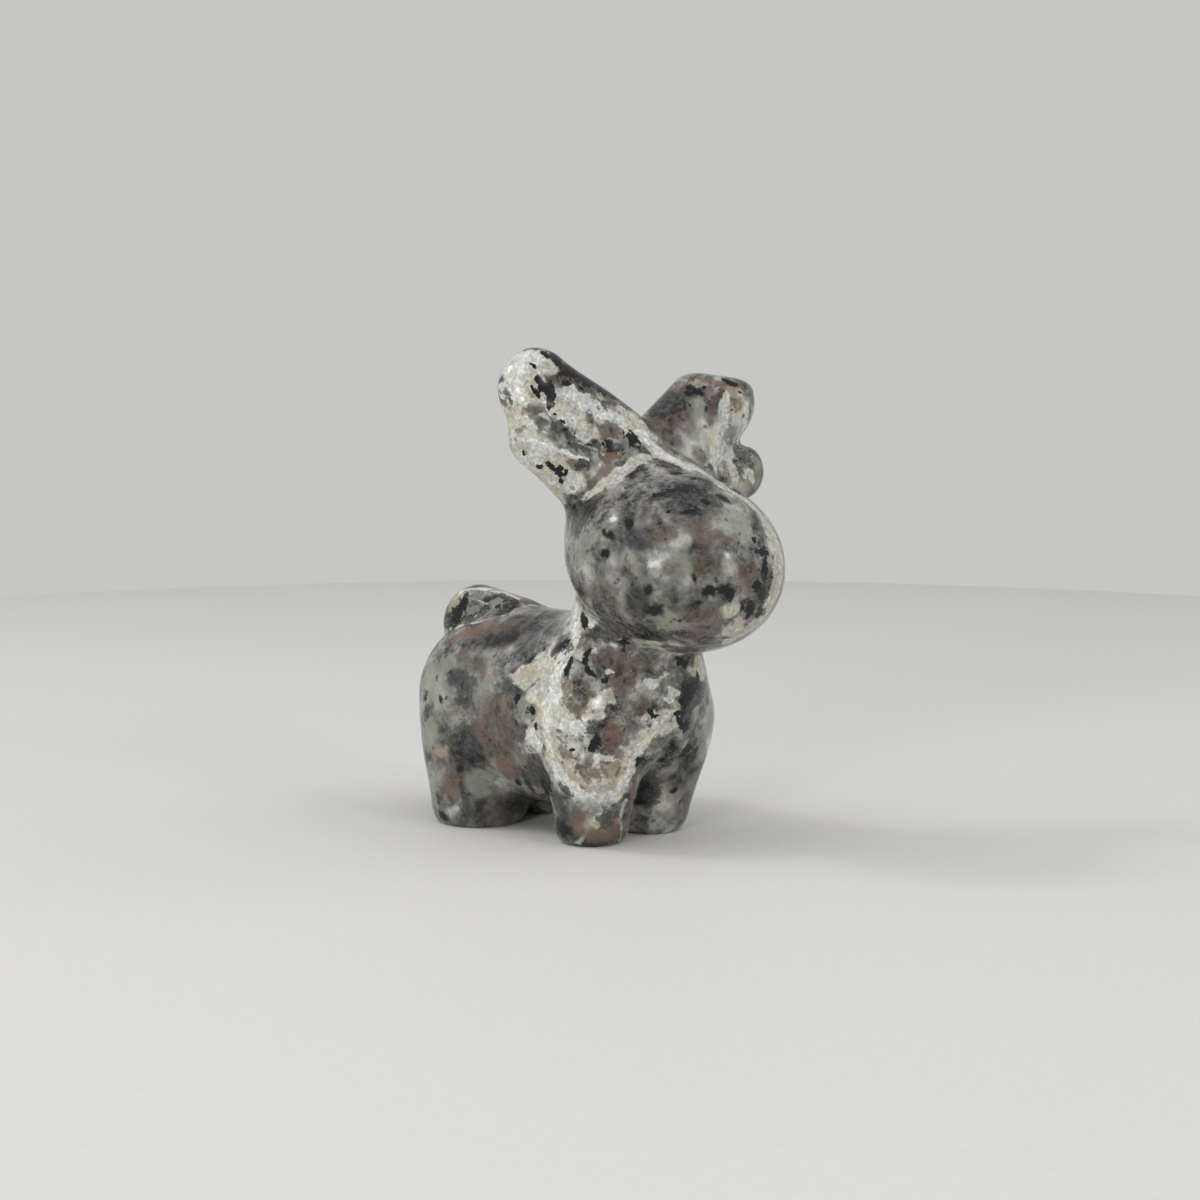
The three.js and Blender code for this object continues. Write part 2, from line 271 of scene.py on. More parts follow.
def headForm(p):
    # An egg and a crown joined, and the two antlers, of which the left is cut flat on top
    egg = ellipsoid(p, headCentre, head["halves"], headPose @ turnAbout(0, head["nod"]))
    crownCentre = headPose @ np.array([0, head["crownBack"], head["crownRise"]]) + headCentre
    crown = ellipsoid(p, crownCentre, head["crownHalves"], headPose)
    right = antlerForm(p, -1, antlers["rightBeam"], antlers["rightTine"])
    left = antlerForm(p, 1, antlers["leftBeam"], antlers["leftTine"])
    slope = np.radians(antlers["leftTopSlope"])
    topNormal = headPose @ np.array([np.sin(slope), 0, np.cos(slope)])
    left = cut(antlers["topRounding"], left, antlers["leftTop"] - (p - headCentre) @ topNormal)
    skull = join(head["crownBlend"], egg, crown)
    return join(antlers["blend"], skull, join(head["blend"], right, left))


waves = np.random.default_rng(handwork["seed"])
waveWays = waves.normal(size=(handwork["unevenWaves"], 3))
waveWays *= 2 * np.pi / handwork["unevennessLength"] / np.linalg.norm(waveWays, axis=1)[:, None]
wavePhases = waves.uniform(0, 2 * np.pi, handwork["unevenWaves"])


def reindeerForm(p):
    # The forms melted together, uneven by a sum of slow sine waves, and cut flat on the floor
    mirrored = p.copy()
    mirrored[:, 0] = np.hypot(p[:, 0], legs["middleRounding"])
    body = join(legs["blend"], trunkForm(p, mirrored), legForm(mirrored))
    neckLimb = limb(p, chestCentre, neckTop, neck["rootRadius"], neck["topRadius"])
    body = join(neck["blend"], body, neckLimb)
    body = cut(cleft["blend"], body, cleftForm(p))
    body = join(tail["blend"], body, tailForm(p, mirrored))
    animal = join(head["blend"], body, headForm(p))
    animal = animal + handwork["unevenness"] * np.sin(p @ waveWays.T + wavePhases).mean(-1)
    animal = cut(legs["soleRounding"], animal, p[:, 2] + legs["belowFloor"])
    return np.maximum(animal, -p[:, 2])


unit = np.eye(3, dtype=int)


def surfaceNet(form, low, high, cell):
    # One point in each cell that the surface passes through, at the mean of the places where
    # it crosses the cell's edges, and one quad round each crossed edge of the grid
    count = np.ceil((high - low) / cell).astype(int) + 1
    places = np.stack(np.meshgrid(*[np.arange(n) for n in count], indexing="ij"), -1)
    depth = form(places.reshape(-1, 3) * cell + low).reshape(count)
    inside = depth < 0
    corners = places[:2, :2, :2].reshape(-1, 3)
    full = sum(
        inside[i:i + count[0] - 1, j:j + count[1] - 1, k:k + count[2] - 1].astype(int)
        for i, j, k in corners
    )
    cells = np.argwhere((full > 0) & (full < len(corners)))
    number = np.full(full.shape, -1)
    number[tuple(cells.T)] = np.arange(len(cells))
    total, hits, quads = np.zeros(cells.shape), np.zeros(len(cells)), []
    for axis in range(3):
        for corner in corners[corners[:, axis] == 0]:
            a = depth[tuple((cells + corner).T)]
            b = depth[tuple((cells + corner + unit[axis]).T)]
            crossed = (a < 0) != (b < 0)
            share = np.where(crossed, a / np.where(crossed, a - b, 1), 0)
            total += crossed[:, None] * (corner + share[:, None] * unit[axis])
            hits += crossed
        u, v = unit[(axis + 1) % 3], unit[(axis + 2) % 3]
        edges = np.argwhere(np.diff(inside, axis=axis))
        ring = np.stack([number[tuple((edges - way).T)] for way in (0 * u, u, u + v, v)], -1)
        outward = inside[tuple(edges.T)]
        quads.append(np.where(outward[:, None], ring, ring[:, ::-1]))
    return (cells + total / hits[:, None]) * cell + low, np.concatenate(quads)


def slopeOf(form, p):
    # Half the difference of the distance a small step ahead and behind, along each axis
    probe = handwork["cell"] / handwork["probesInCell"]
    rises = [form(p + probe * way) - form(p - probe * way) for way in unit]
    return np.stack(rises, -1) / (2 * probe)


def settle(form, p):
    # Step along the slope by the distance over the slope's length, until it is nothing
    for _ in range(handwork["settleSteps"]):
        slope = slopeOf(form, p)
        p = p - (form(p) / (slope * slope).sum(-1))[:, None] * slope
    return p


def evenOut(p, quads):
    # Half way from each point to the middle of its neighbours
    start, end = quads.ravel(), np.roll(quads, -1, axis=1).ravel()
    neighbours = np.bincount(start, minlength=len(p))
    middle = np.stack([np.bincount(start, p[end, axis], len(p)) for axis in range(3)], -1)
    return (p + middle / neighbours[:, None]) / 2


def meshOf(name, points, quads):
    # A mesh object from arrays of points and of the four corners of each face
    mesh = bpy.data.meshes.new(name)
    mesh.vertices.add(len(points))
    mesh.vertices.foreach_set("co", points.ravel())
    mesh.loops.add(quads.size)
    mesh.loops.foreach_set("vertex_index", quads.ravel())
    mesh.polygons.add(len(quads))
    mesh.polygons.foreach_set("loop_start", np.arange(0, quads.size, 4))
    mesh.update(calc_edges=True)
    mesh.shade_smooth()
    piece = bpy.data.objects.new(name, mesh)
    bpy.context.scene.collection.objects.link(piece)
    return piece


# A coarse grid finds the space that the carving takes, and the fine one covers no more
cadSize = (np.array(cadHigh) - np.array(cadLow)) / mm
reach = cadSize * handwork["searchShare"]
roughCell = handwork["roughCell"]
coarse = [np.arange(-side, side + roughCell, roughCell) for side in reach[:2]]
coarse.append(np.arange(0, cadSize[2] + roughCell, roughCell))
coarse = np.stack(np.meshgrid(*coarse, indexing="ij"), -1).reshape(-1, 3)
solid = coarse[reindeerForm(coarse) < 0]
margin = handwork["roughMargin"] * roughCell
points, quads = surfaceNet(
    reindeerForm,
    np.array([*(solid.min(0)[:2] - margin), -handwork["cellsBelowFloor"] * handwork["cell"]]),
    solid.max(0) + margin,
    handwork["cell"],
)
for _ in range(handwork["rounds"]):
    points = settle(reindeerForm, evenOut(points, quads))
points[:, 2] = np.maximum(points[:, 2], 0)
normals = slopeOf(reindeerForm, points)
normals /= np.linalg.norm(normals, axis=1)[:, None]
middle = (points.min(0) + points.max(0)) / 2
print("carving: surface of", len(points), "points and", len(quads), "quads")

# The view's own directions, and where each point of the surface lies in it
azimuth, elevation = np.radians(view["azimuth"]), np.radians(view["elevation"])
backward = np.array([
    np.sin(azimuth) * np.cos(elevation),
    -np.cos(azimuth) * np.cos(elevation),
    np.sin(elevation),
])
rightward = np.array([np.cos(azimuth), np.sin(azimuth), 0])
upward = np.cross(backward, rightward)
eye = backward * view["distance"]
eye = eye + rightward * (view["size"] / 2 - view["feetAcross"])
eye = eye + upward * (view["feetDown"] - view["size"] / 2)
toPoint = points - eye
depth = -toPoint @ backward
across = view["size"] / 2 + toPoint @ rightward / depth * view["distance"]
down = view["size"] / 2 - toPoint @ upward / depth * view["distance"]
facing = -(toPoint * normals).sum(-1) / np.linalg.norm(toPoint, axis=1)

# How places in the view are matched with points of the surface. The costs choose the point.
sight = {
    "squaresPerMm": 2,
    "squaresDown": 1000,
    "leastFacing": 0.02,
    "depthSlack": 2,  # a point this little behind the nearest one is still seen
    "nearEnough": 0.4,
    "depthPerCost": 100,
    "farCost": 9,
    "unseenCost": 99,
    "leastSpread": 0.4,  # a patch is drawn out by no more than one over this
}

# The nearest depth in each small square of the view tells what is in front
squares = (across * sight["squaresPerMm"]).astype(int) * sight["squaresDown"]
squares += (down * sight["squaresPerMm"]).astype(int)
nearest = np.full(squares.max() + 1, np.inf)
np.minimum.at(nearest, squares, depth)
seen = (facing > sight["leastFacing"]) & (depth < nearest[squares] + sight["depthSlack"])

# The stone's minerals where the view shows them, and with them some painted highlights, painted
# reflections and painted shade, each noted where it stands. Each spot is across, down, length and width as
# seen, and its lean if it has one, and each vein is a line of across, down and half width.
spots = {
    "black": [
        # near antler
        (53.3, 36.6, 0.9, 0.4, -60), (61.4, 44.7, 2.0, 1.1, -12), (60.9, 44.2, 0.8, 0.5),
        (63.1, 44.0, 2.4, 1.2, -60), (53.8, 46.8, 0.9, 0.5, -40), (52.3, 45.3, 0.9, 0.25, 80),
        (56.7, 38.5, 0.9, 0.4), (55.2, 46.7, 1.4, 0.6, -30), (55.8, 47.3, 1.7, 1.0, -60),
        (56.1, 48.1, 0.7, 0.6), (54.5, 35.4, 1.1, 0.5, -30), (55.8, 36.1, 1.6, 1.1, -35),
        (57.0, 37.0, 2.2, 1.6, -40), (58.5, 37.8, 2.2, 1.3, -25), (60.3, 39.0, 2.0, 1.0, -40),
        (61.3, 39.6, 1.0, 0.5, -45), (56.2, 42.2, 0.8, 0.5, -40), (56.6, 43.0, 0.5, 0.5),
        (55.4, 41.6, 0.5, 0.3), (58.9, 44.6, 1.2, 0.5, 10),
        # far antler
        (69.9, 39.2, 1.3, 0.9), (68.8, 39.3, 0.8, 0.5), (70.6, 41.0, 0.4, 0.8), (72.1, 39.1, 0.4, 0.3),
        (73.2, 40.9, 0.35, 0.35), (73.0, 38.2, 1.9, 0.6, -8), (73.9, 39.2, 0.4, 0.3),
        (70.4, 38.7, 0.5, 0.25), (68.9, 40.6, 0.4, 0.3), (74.0, 45.8, 0.5, 0.3),
        (75.0, 45.2, 0.4, 0.25, 40),
        # head
        (62.9, 52.4, 1.0, 1.0), (61.0, 53.6, 1.5, 0.9, -35), (60.6, 55.4, 1.1, 1.1),
        (64.9, 59.0, 1.4, 1.1, -20), (65.3, 61.0, 1.8, 1.3, -10), (65.9, 60.7, 1.2, 0.6, 35),
        (69.4, 57.9, 1.3, 0.7, -70), (71.0, 59.1, 1.4, 1.1), (72.2, 59.1, 1.8, 1.1, 5),
        (72.9, 59.5, 1.1, 1.6), (69.9, 60.2, 0.9, 0.45, 15), (67.3, 62.0, 0.5, 0.35, -35),
        (68.1, 62.1, 0.5, 0.35, 35), (75.5, 54.0, 1.1, 0.6, 80), (76.2, 55.1, 1.4, 1.0, 10),
        (76.5, 56.9, 2.3, 0.9, 80), (75.7, 58.5, 1.2, 0.9, 75), (75.1, 61.0, 1.7, 0.9, -65),
        (76.0, 61.2, 1.6, 0.7, 65), (65.1, 63.3, 0.8, 0.4, -10), (62.1, 64.0, 1.1, 0.45, 20),
        (67.0, 51.2, 0.5, 0.35, 20), (69.0, 51.1, 1.9, 0.7, 8), (65.8, 49.4, 1.5, 0.6, 5),
        (68.6, 48.8, 2.4, 1.1, -5), (67.0, 49.0, 1.2, 0.7), (67.5, 47.3, 1.5, 0.5, -15),
        (69.4, 47.8, 0.8, 0.35), (72.3, 49.8, 1.7, 0.5, -35), (66.6, 53.9, 0.3, 0.25),
        (70.6, 50.2, 0.9, 0.6, -30), (57.5, 50.9, 0.6, 0.4, 60),
        # neck and chest
        (56.3, 64.6, 1.6, 0.6, 40), (58.4, 62.0, 1.8, 0.6, -60), (56.6, 66.9, 2.1, 0.7, 88),
        (60.6, 68.0, 0.9, 1.0), (62.4, 65.1, 0.5, 0.5), (62.2, 64.0, 1.3, 0.6, 20),
        (59.4, 74.6, 1.7, 1.0, 20), (59.8, 73.8, 0.9, 1.2), (64.0, 76.0, 1.1, 0.8, 80),
        (69.7, 67.6, 1.2, 0.5, 80), (67.6, 71.3, 1.2, 0.6), (68.6, 75.0, 1.2, 1.1),
        (66.0, 76.0, 1.1, 0.6, 10), (67.4, 79.0, 0.6, 0.6), (56.3, 83.0, 2.3, 1.6, -60),
        (64.4, 78.6, 1.4, 0.9, 70), (63.8, 80.3, 1.2, 0.8, 60), (54.9, 69.1, 0.3, 0.3),
        (57.2, 75.0, 0.5, 0.3),
        # flank, rump and tail
        (51.8, 69.9, 0.8, 1.1), (53.2, 71.2, 0.8, 0.9), (53.6, 72.6, 0.45, 0.8),
        (46.1, 76.9, 0.6, 1.1), (51.9, 78.2, 1.0, 0.35, -35), (42.5, 69.7, 0.7, 1.0),
        (44.2, 81.5, 1.2, 1.0), (48.5, 60.0, 0.35, 0.7), (50.5, 60.0, 0.7, 0.3, 60),
        (49.8, 60.6, 0.7, 0.4), (53.0, 59.9, 0.9, 0.35, -30), (44.1, 69.9, 0.45, 0.9),
    ],
    "slate": [
        (51.1, 40.3, 1.6, 0.7, 75), (55.9, 42.6, 2.6, 1.4, -40), (58.6, 44.9, 3.2, 1.1, -10),
        (60.4, 40.4, 1.4, 0.9, -35), (58.4, 46.2, 1.6, 1.2), (68.2, 40.2, 2.0, 1.2, 20),
        # Painted shade: the slate spot at (62.0, 63.6) darkens the underside of the head
        (65.8, 41.6, 2.6, 1.6, 30), (62.0, 63.6, 3.2, 1.1, -12), (74.5, 45.6, 1.8, 1.6),
        (57.7, 51.6, 2.0, 3.4), (58.9, 50.6, 1.8, 1.2), (63.5, 53.9, 2.4, 1.3),
        (65.4, 49.9, 2.4, 0.9, 5), (68.4, 49.7, 3.0, 1.3, -5), (71.2, 50.2, 2.8, 1.2, -25),
        (66.3, 63.6, 3.0, 1.1), (56.3, 64.4, 2.2, 1.3, 30), (59.7, 73.2, 1.6, 1.4, 60),
        (64.8, 78.3, 2.2, 3.6), (64.1, 80.0, 2.6, 1.6, 20), (60.6, 82.0, 2.2, 2.0),
        (56.2, 78.8, 1.8, 0.7, -70), (55.7, 80.6, 2.4, 0.9, -75), (51.1, 68.7, 2.5, 1.7, -20),
        (46.4, 67.4, 1.6, 2.0), (46.6, 68.7, 1.6, 1.8), (46.1, 70.1, 1.0, 1.3), (42.8, 71.0, 1.0, 1.2),
        (46.2, 74.0, 3.2, 2.8), (51.6, 80.2, 2.6, 2.0, 60), (68.2, 76.6, 1.2, 0.7, 60),
        # Painted shade: the slate spot at (53.8, 77.4) darkens the belly between the legs
        (53.8, 62.6, 2.2, 0.8, 25), (66.6, 40.0, 2.8, 1.4, 40), (53.8, 77.4, 2.4, 3.4),
        (60.6, 63.4, 3.0, 1.2), (54.6, 61.6, 2.6, 0.8, 20), (52.6, 62.0, 1.6, 0.5, 25),
    ],
    "brown": [
        (53.2, 41.1, 2.0, 0.7, -15), (53.3, 39.7, 0.8, 1.0), (61.3, 42.7, 2.4, 2.4, -30),
        (56.5, 38.1, 2.4, 1.1), (52.4, 59.4, 3.4, 0.9, -22), (59.2, 39.7, 2.2, 1.3, -30),
        (60.9, 45.8, 2.2, 1.0), (66.5, 39.5, 4.2, 2.4, 35), (68.4, 41.6, 2.6, 2.0),
        (65.6, 42.2, 3.4, 2.2, -10), (71.4, 40.4, 1.4, 3.4), (71.0, 42.2, 1.1, 1.0),
        (65.9, 53.0, 4.0, 1.2, 5), (70.0, 53.7, 2.8, 4.4), (72.7, 53.9, 2.0, 1.6),
        (75.1, 57.5, 2.2, 2.8), (70.8, 61.5, 3.4, 1.8), (70.9, 63.1, 4.4, 1.8, 5),
        (62.0, 63.1, 4.0, 2.0, -15), (59.5, 59.0, 3.2, 2.0, 20), (70.2, 56.6, 1.6, 3.0),
        (61.5, 66.0, 4.8, 2.9, -10), (62.5, 68.2, 2.6, 2.2), (63.8, 70.7, 2.0, 1.6),
        (57.0, 68.8, 1.4, 3.0), (57.7, 71.0, 2.0, 1.4), (59.2, 69.4, 1.6, 1.0, 30),
        (58.3, 77.0, 3.4, 1.2, -20), (61.0, 76.9, 2.0, 1.2, 20), (56.8, 75.6, 1.2, 1.6),
        (61.9, 75.4, 1.2, 2.0), (69.0, 65.0, 2.0, 1.4), (50.2, 73.0, 4.6, 6.6), (45.1, 76.6, 2.3, 4.0),
        (49.9, 80.4, 2.9, 2.8), (53.7, 76.8, 2.7, 3.6), (48.4, 66.2, 3.0, 1.2, 30),
        (46.6, 65.2, 3.0, 1.0, 14), (59.6, 83.9, 5.0, 1.9), (57.7, 81.7, 2.5, 2.1),
        (70.0, 80.0, 2.0, 3.0), (50.5, 76.5, 3.6, 2.2, -30), (66.7, 44.6, 3.0, 1.0, -30),
        (70.4, 46.2, 2.6, 1.0, -35),
    ],
    "rust": [
        (52.2, 43.0, 0.7, 0.7), (57.1, 46.3, 1.7, 1.3), (60.7, 45.7, 1.9, 1.0), (56.2, 38.0, 1.1, 0.7),
        (73.7, 40.3, 0.9, 1.6), (72.6, 47.6, 0.6, 1.7), (61.2, 73.6, 1.8, 2.6, 20),
        (65.6, 73.9, 1.4, 1.1, 10), (66.6, 70.5, 0.9, 0.7), (57.7, 81.7, 1.9, 1.5, 10),
        (59.4, 83.6, 4.0, 1.3), (61.2, 82.6, 1.6, 2.4, 10), (45.4, 78.8, 1.6, 2.0),
        (48.2, 72.6, 1.3, 2.4), (50.6, 76.6, 2.2, 1.4, -30), (62.9, 64.6, 1.3, 1.0),
        (64.7, 66.4, 1.2, 0.9), (75.2, 57.2, 1.2, 1.2),
    ],
    "tan": [
        (77.2, 59.0, 0.9, 1.0), (73.1, 39.1, 1.3, 1.5), (69.7, 38.3, 1.6, 0.9), (74.6, 48.5, 1.4, 1.4),
        (44.0, 75.2, 0.9, 1.7), (52.8, 67.2, 1.2, 1.0, 20), (45.0, 60.4, 0.9, 2.4, -20),
        (53.2, 60.5, 0.8, 0.5), (56.9, 76.0, 1.0, 1.0), (61.6, 76.6, 1.6, 1.0, 40),
        (58.1, 75.1, 0.6, 0.5), (54.2, 79.1, 0.7, 1.6), (70.4, 66.3, 1.0, 0.8), (50.0, 42.0, 0.8, 1.0),
    ],
    "sage": [
        (69.4, 43.6, 2.0, 1.4, -10), (70.2, 40.8, 0.8, 3.0), (75.8, 47.3, 0.9, 2.5),
        (73.5, 51.8, 3.8, 2.2, -10), (58.5, 53.7, 2.0, 2.3), (57.6, 55.8, 1.6, 2.0),
        # Partly painted reflection, partly sage: the pale spots at (43.4, 68.3) and (42.9, 73.0) along the
        # rump's left edge
        (75.4, 53.9, 1.6, 2.1), (67.2, 62.3, 3.6, 1.5), (68.5, 56.5, 2.0, 2.0), (43.4, 68.3, 3.2, 4.4),
        (45.0, 66.0, 2.6, 1.4, 30), (48.4, 69.2, 2.6, 2.4, 40), (42.9, 73.0, 1.4, 3.6),
        (43.2, 78.0, 1.2, 3.0), (47.6, 78.2, 3.0, 2.4), (70.2, 74.0, 1.6, 4.0), (46.1, 61.7, 1.0, 0.9),
        (47.4, 61.0, 1.9, 1.2), (49.6, 60.4, 1.8, 0.8, -8), (72.9, 43.2, 1.1, 2.3, -10),
        (70.9, 72.0, 1.4, 4.6), (66.8, 72.8, 4.0, 1.8, 15), (52.6, 70.4, 2.0, 2.6),
    ],
    "cream": [
        (51.8, 37.4, 3.6, 4.6), (54.4, 36.6, 4.2, 2.6, -25), (52.3, 39.6, 2.8, 2.6),
        (57.0, 40.9, 5.6, 3.4, -30), (60.2, 41.4, 2.6, 1.8, -30), (53.5, 44.8, 4.4, 2.6, -20),
        (54.3, 48.0, 6.4, 1.8, -48), (56.8, 48.3, 2.6, 2.2), (59.0, 43.4, 3.0, 1.8, -10),
        (62.4, 42.6, 1.8, 1.6), (63.0, 46.4, 1.6, 1.6), (51.0, 43.4, 1.8, 3.6),
        (54.8, 45.6, 4.0, 2.4, -20), (55.8, 47.2, 3.0, 1.6, -40), (53.4, 42.8, 2.0, 1.4),
        (61.5, 47.4, 2.4, 0.9, 35), (73.3, 61.3, 2.4, 1.3, 20), (73.6, 62.6, 2.2, 1.6, 20),
        (64.8, 64.6, 4.0, 1.8, -5), (69.9, 66.9, 1.9, 2.4), (66.7, 72.6, 5.2, 2.2, 15),
        (59.0, 71.2, 2.4, 1.8), (52.8, 67.6, 2.6, 2.6), (54.4, 66.2, 3.4, 2.6, 30),
        (54.8, 69.4, 4.4, 4.0), (54.6, 72.6, 3.0, 3.8), (56.2, 75.6, 3.4, 4.6), (59.0, 78.0, 4.6, 2.6),
        (62.6, 75.8, 2.6, 3.2), (56.0, 72.4, 2.2, 2.6), (73.3, 47.7, 1.3, 2.8), (74.4, 41.9, 1.1, 5.4),
        (72.4, 41.6, 0.9, 4.4), (73.8, 45.4, 1.6, 1.4), (60.2, 69.6, 2.0, 1.4), (58.0, 65.6, 1.6, 1.6),
        (64.9, 71.6, 2.6, 1.6, 30), (53.2, 74.6, 1.6, 1.6),
    ],
    "white": [
        (51.6, 36.4, 3.6, 3.2, 30), (50.8, 38.6, 2.0, 3.4), (57.2, 48.0, 1.6, 2.4, 20),
        (53.6, 36.0, 2.4, 1.4, -20), (54.0, 45.2, 3.0, 1.2, -25), (52.2, 45.8, 1.6, 1.2, -45),
        (72.4, 41.8, 0.8, 2.6), (72.6, 45.3, 1.7, 2.2), (74.8, 47.1, 1.5, 1.3), (57.2, 72.8, 2.2, 1.8),
        (59.8, 75.7, 2.4, 1.3), (58.5, 73.0, 1.2, 1.0), (65.3, 68.2, 2.2, 1.1, 20),
        (67.4, 69.2, 1.8, 0.8, 30), (66.6, 67.2, 1.2, 0.7), (55.1, 70.4, 1.5, 2.6),
        (53.9, 74.3, 1.6, 1.4), (45.5, 81.0, 1.4, 1.4), (50.3, 78.3, 1.6, 1.3, -30),
        # Painted highlights, partly white mineral too: the spots at (72.7, 56.5), (68.1, 54.2) and (65.4,
        # 56.6) on the head stand where the polish shows glints
        (66.9, 83.1, 1.9, 0.4, 10), (60.9, 67.2, 0.8, 0.6), (72.7, 56.5, 2.2, 2.4),
        (68.1, 54.2, 2.0, 1.7), (59.3, 62.4, 1.2, 1.2), (55.8, 42.9, 0.8, 0.5, -40),
        (65.4, 56.6, 2.2, 1.4, 30), (58.7, 39.9, 2.4, 1.3, -30),
    ],
    # where the stone is clear enough for its grains to look soft
    "clear": [
        (66.5, 57.2, 18.0, 13.0), (47.0, 73.0, 10.0, 16.0), (68.5, 79.5, 6.0, 8.0),
        (59.5, 82.7, 9.0, 6.0), (68.5, 42.5, 8.0, 7.0), (48.5, 80.5, 12.0, 7.0),
        (52.0, 62.5, 10.0, 4.0),
    ],
}
veins = {
    "black": [
        [(53.6, 37.7, 0.2), (54.2, 38.3, 0.35), (54.8, 38.9, 0.5), (55.2, 39.5, 0.5)],
        [(54.5, 37.6, 0.15), (54.9, 38.3, 0.25), (55.3, 39.0, 0.35)],
        [(55.3, 39.3, 0.4), (54.9, 40.2, 0.42), (54.7, 41.0, 0.2)],
        [(53.2, 38.7, 0.2), (53.8, 39.5, 0.22)],
        [(58.7, 65.2, 0.3), (58.5, 66.2, 0.4), (58.9, 67.0, 0.35), (59.4, 67.7, 0.2)],
        [(65.0, 70.9, 0.25), (65.1, 71.5, 0.3), (65.7, 71.7, 0.25)],
        [(67.2, 65.3, 0.25), (67.9, 65.9, 0.4), (68.5, 66.5, 0.4), (68.9, 65.8, 0.2)],
        [(46.5, 59.6, 0.45), (46.2, 60.7, 0.7), (45.7, 61.9, 0.9), (45.0, 63.1, 0.8)],
        [(69.8, 68.0, 0.4), (69.1, 69.2, 0.7), (68.3, 70.1, 0.6)],
        [(67.9, 71.9, 0.4), (68.5, 72.8, 0.6)],
        [(52.9, 62.6, 0.12), (53.8, 62.2, 0.2)],
        [(53.6, 61.9, 0.15), (54.8, 61.1, 0.2)],
    ],
    "slate": [
        [(71.1, 46.6, 0.3), (72.2, 47.7, 0.4), (73.0, 48.8, 0.35), (74.2, 49.6, 0.3)],
        [(46.0, 78.4, 0.3), (46.6, 80.4, 0.4), (46.2, 82.2, 0.3)],
        [(70.5, 68.5, 0.45), (69.9, 69.6, 0.6), (69.1, 70.9, 0.5), (68.6, 72.2, 0.55)],
    ],
    "brown": [
        [(45.0, 64.2, 0.6), (47.4, 63.5, 0.9), (50.0, 62.7, 0.85), (53.0, 61.9, 0.5)],
    ],
    "rust": [
        [(45.4, 63.6, 0.35), (47.2, 63.0, 0.6), (49.6, 62.2, 0.35)],
        [(61.1, 46.5, 0.35), (60.1, 47.5, 0.4), (59.0, 48.4, 0.3)],
        [(70.4, 38.0, 0.3), (72.2, 38.5, 0.4), (74.0, 38.6, 0.4)],
        [(64.0, 76.8, 0.5), (63.3, 79.0, 0.55), (62.9, 81.5, 0.5), (62.7, 83.7, 0.45)],
    ],
    "tan": [
        [(55.2, 73.2, 0.35), (55.3, 75.6, 0.5), (57.2, 77.7, 0.5), (60.3, 79.2, 0.45), (62.1, 77.6, 0.4)],
        [(50.4, 42.8, 0.3), (51.6, 45.2, 0.35), (53.6, 47.6, 0.3)],
    ],
    "cream": [
        [(62.4, 41.4, 0.8), (63.8, 42.8, 1.3), (65.2, 44.2, 1.3), (66.6, 45.6, 1.1), (68.4, 46.6, 0.9),
         (70.3, 47.1, 0.8), (72.2, 48.6, 0.75), (74.2, 49.8, 0.7), (75.6, 51.0, 0.6)],
        # Partly painted reflection, partly cream stone: the pale band round the head's right rim and
        # underside
        [(75.6, 51.0, 0.7), (76.8, 52.6, 1.0), (77.6, 54.6, 1.3), (77.9, 56.8, 1.4),
         (77.6, 59.0, 1.3), (76.7, 61.0, 1.0), (75.0, 62.8, 0.9), (72.8, 64.2, 0.8)],
        [(58.3, 49.9, 0.4), (60.4, 48.4, 0.5), (62.4, 47.0, 0.6), (64.6, 45.8, 0.6)],
        [(50.5, 41.4, 0.7), (51.3, 44.4, 0.8), (53.4, 47.2, 0.7), (55.6, 49.4, 0.7)],
        [(55.6, 76.2, 0.9), (57.4, 78.6, 1.0), (60.2, 79.6, 0.9), (62.3, 77.8, 0.75),
         (63.4, 75.4, 0.7), (65.2, 73.4, 0.7), (67.4, 72.2, 0.8)],
        [(57.4, 60.6, 0.7), (57.6, 62.8, 0.8), (57.0, 65.0, 0.9), (55.6, 67.0, 0.9)],
        [(60.2, 81.0, 0.25), (59.2, 82.5, 0.3), (57.9, 84.3, 0.3)],
        [(62.0, 84.0, 0.25), (61.9, 82.0, 0.25), (62.5, 80.0, 0.3)],
        # Partly painted highlight, partly cream: the thin line along the seam under the tail
        [(45.2, 62.9, 0.25), (47.6, 62.2, 0.25), (50.4, 61.5, 0.25), (53.4, 60.5, 0.3)],
    ],
    "white": [
        [(56.9, 39.0, 0.6), (58.6, 40.2, 0.8), (60.4, 41.2, 0.7), (62.2, 42.1, 0.5)],
        [(64.4, 43.4, 0.6), (66.2, 45.4, 0.55), (68.2, 46.4, 0.5), (70.2, 47.2, 0.45)],
        [(72.6, 39.6, 0.5), (72.0, 42.0, 0.6), (71.6, 44.2, 0.7), (71.6, 46.4, 0.7)],
        [(74.6, 40.4, 0.35), (74.5, 42.4, 0.45), (73.9, 44.2, 0.4)],
        [(57.6, 60.8, 0.5), (57.7, 62.6, 0.55), (57.3, 64.6, 0.55), (56.2, 66.4, 0.7), (55.4, 68.4, 0.8)],
        [(55.0, 70.6, 0.6), (54.8, 73.0, 0.6), (55.1, 75.4, 0.5)],
        [(55.6, 76.6, 0.6), (57.0, 78.6, 0.8), (58.6, 79.9, 0.95), (60.6, 80.2, 0.95),
         (62.0, 79.0, 0.7), (63.0, 77.4, 0.55), (63.8, 75.4, 0.5), (65.0, 73.6, 0.4), (65.6, 72.4, 0.3)],
        # Painted highlights: these two thin white lines lie along the crests of the near antler's ridges
        # as glints
        [(53.0, 44.0, 0.2), (54.6, 44.6, 0.3), (56.6, 45.3, 0.28), (58.6, 45.9, 0.15)],
        [(54.0, 41.4, 0.14), (55.8, 42.6, 0.2), (57.8, 43.7, 0.12)],
        # Partly painted highlight, partly a pale edge: the thin white line along the tail's upper rim
        [(46.2, 59.2, 0.28), (48.6, 59.0, 0.3), (50.6, 59.3, 0.3), (51.8, 60.0, 0.2)],
    ],
}
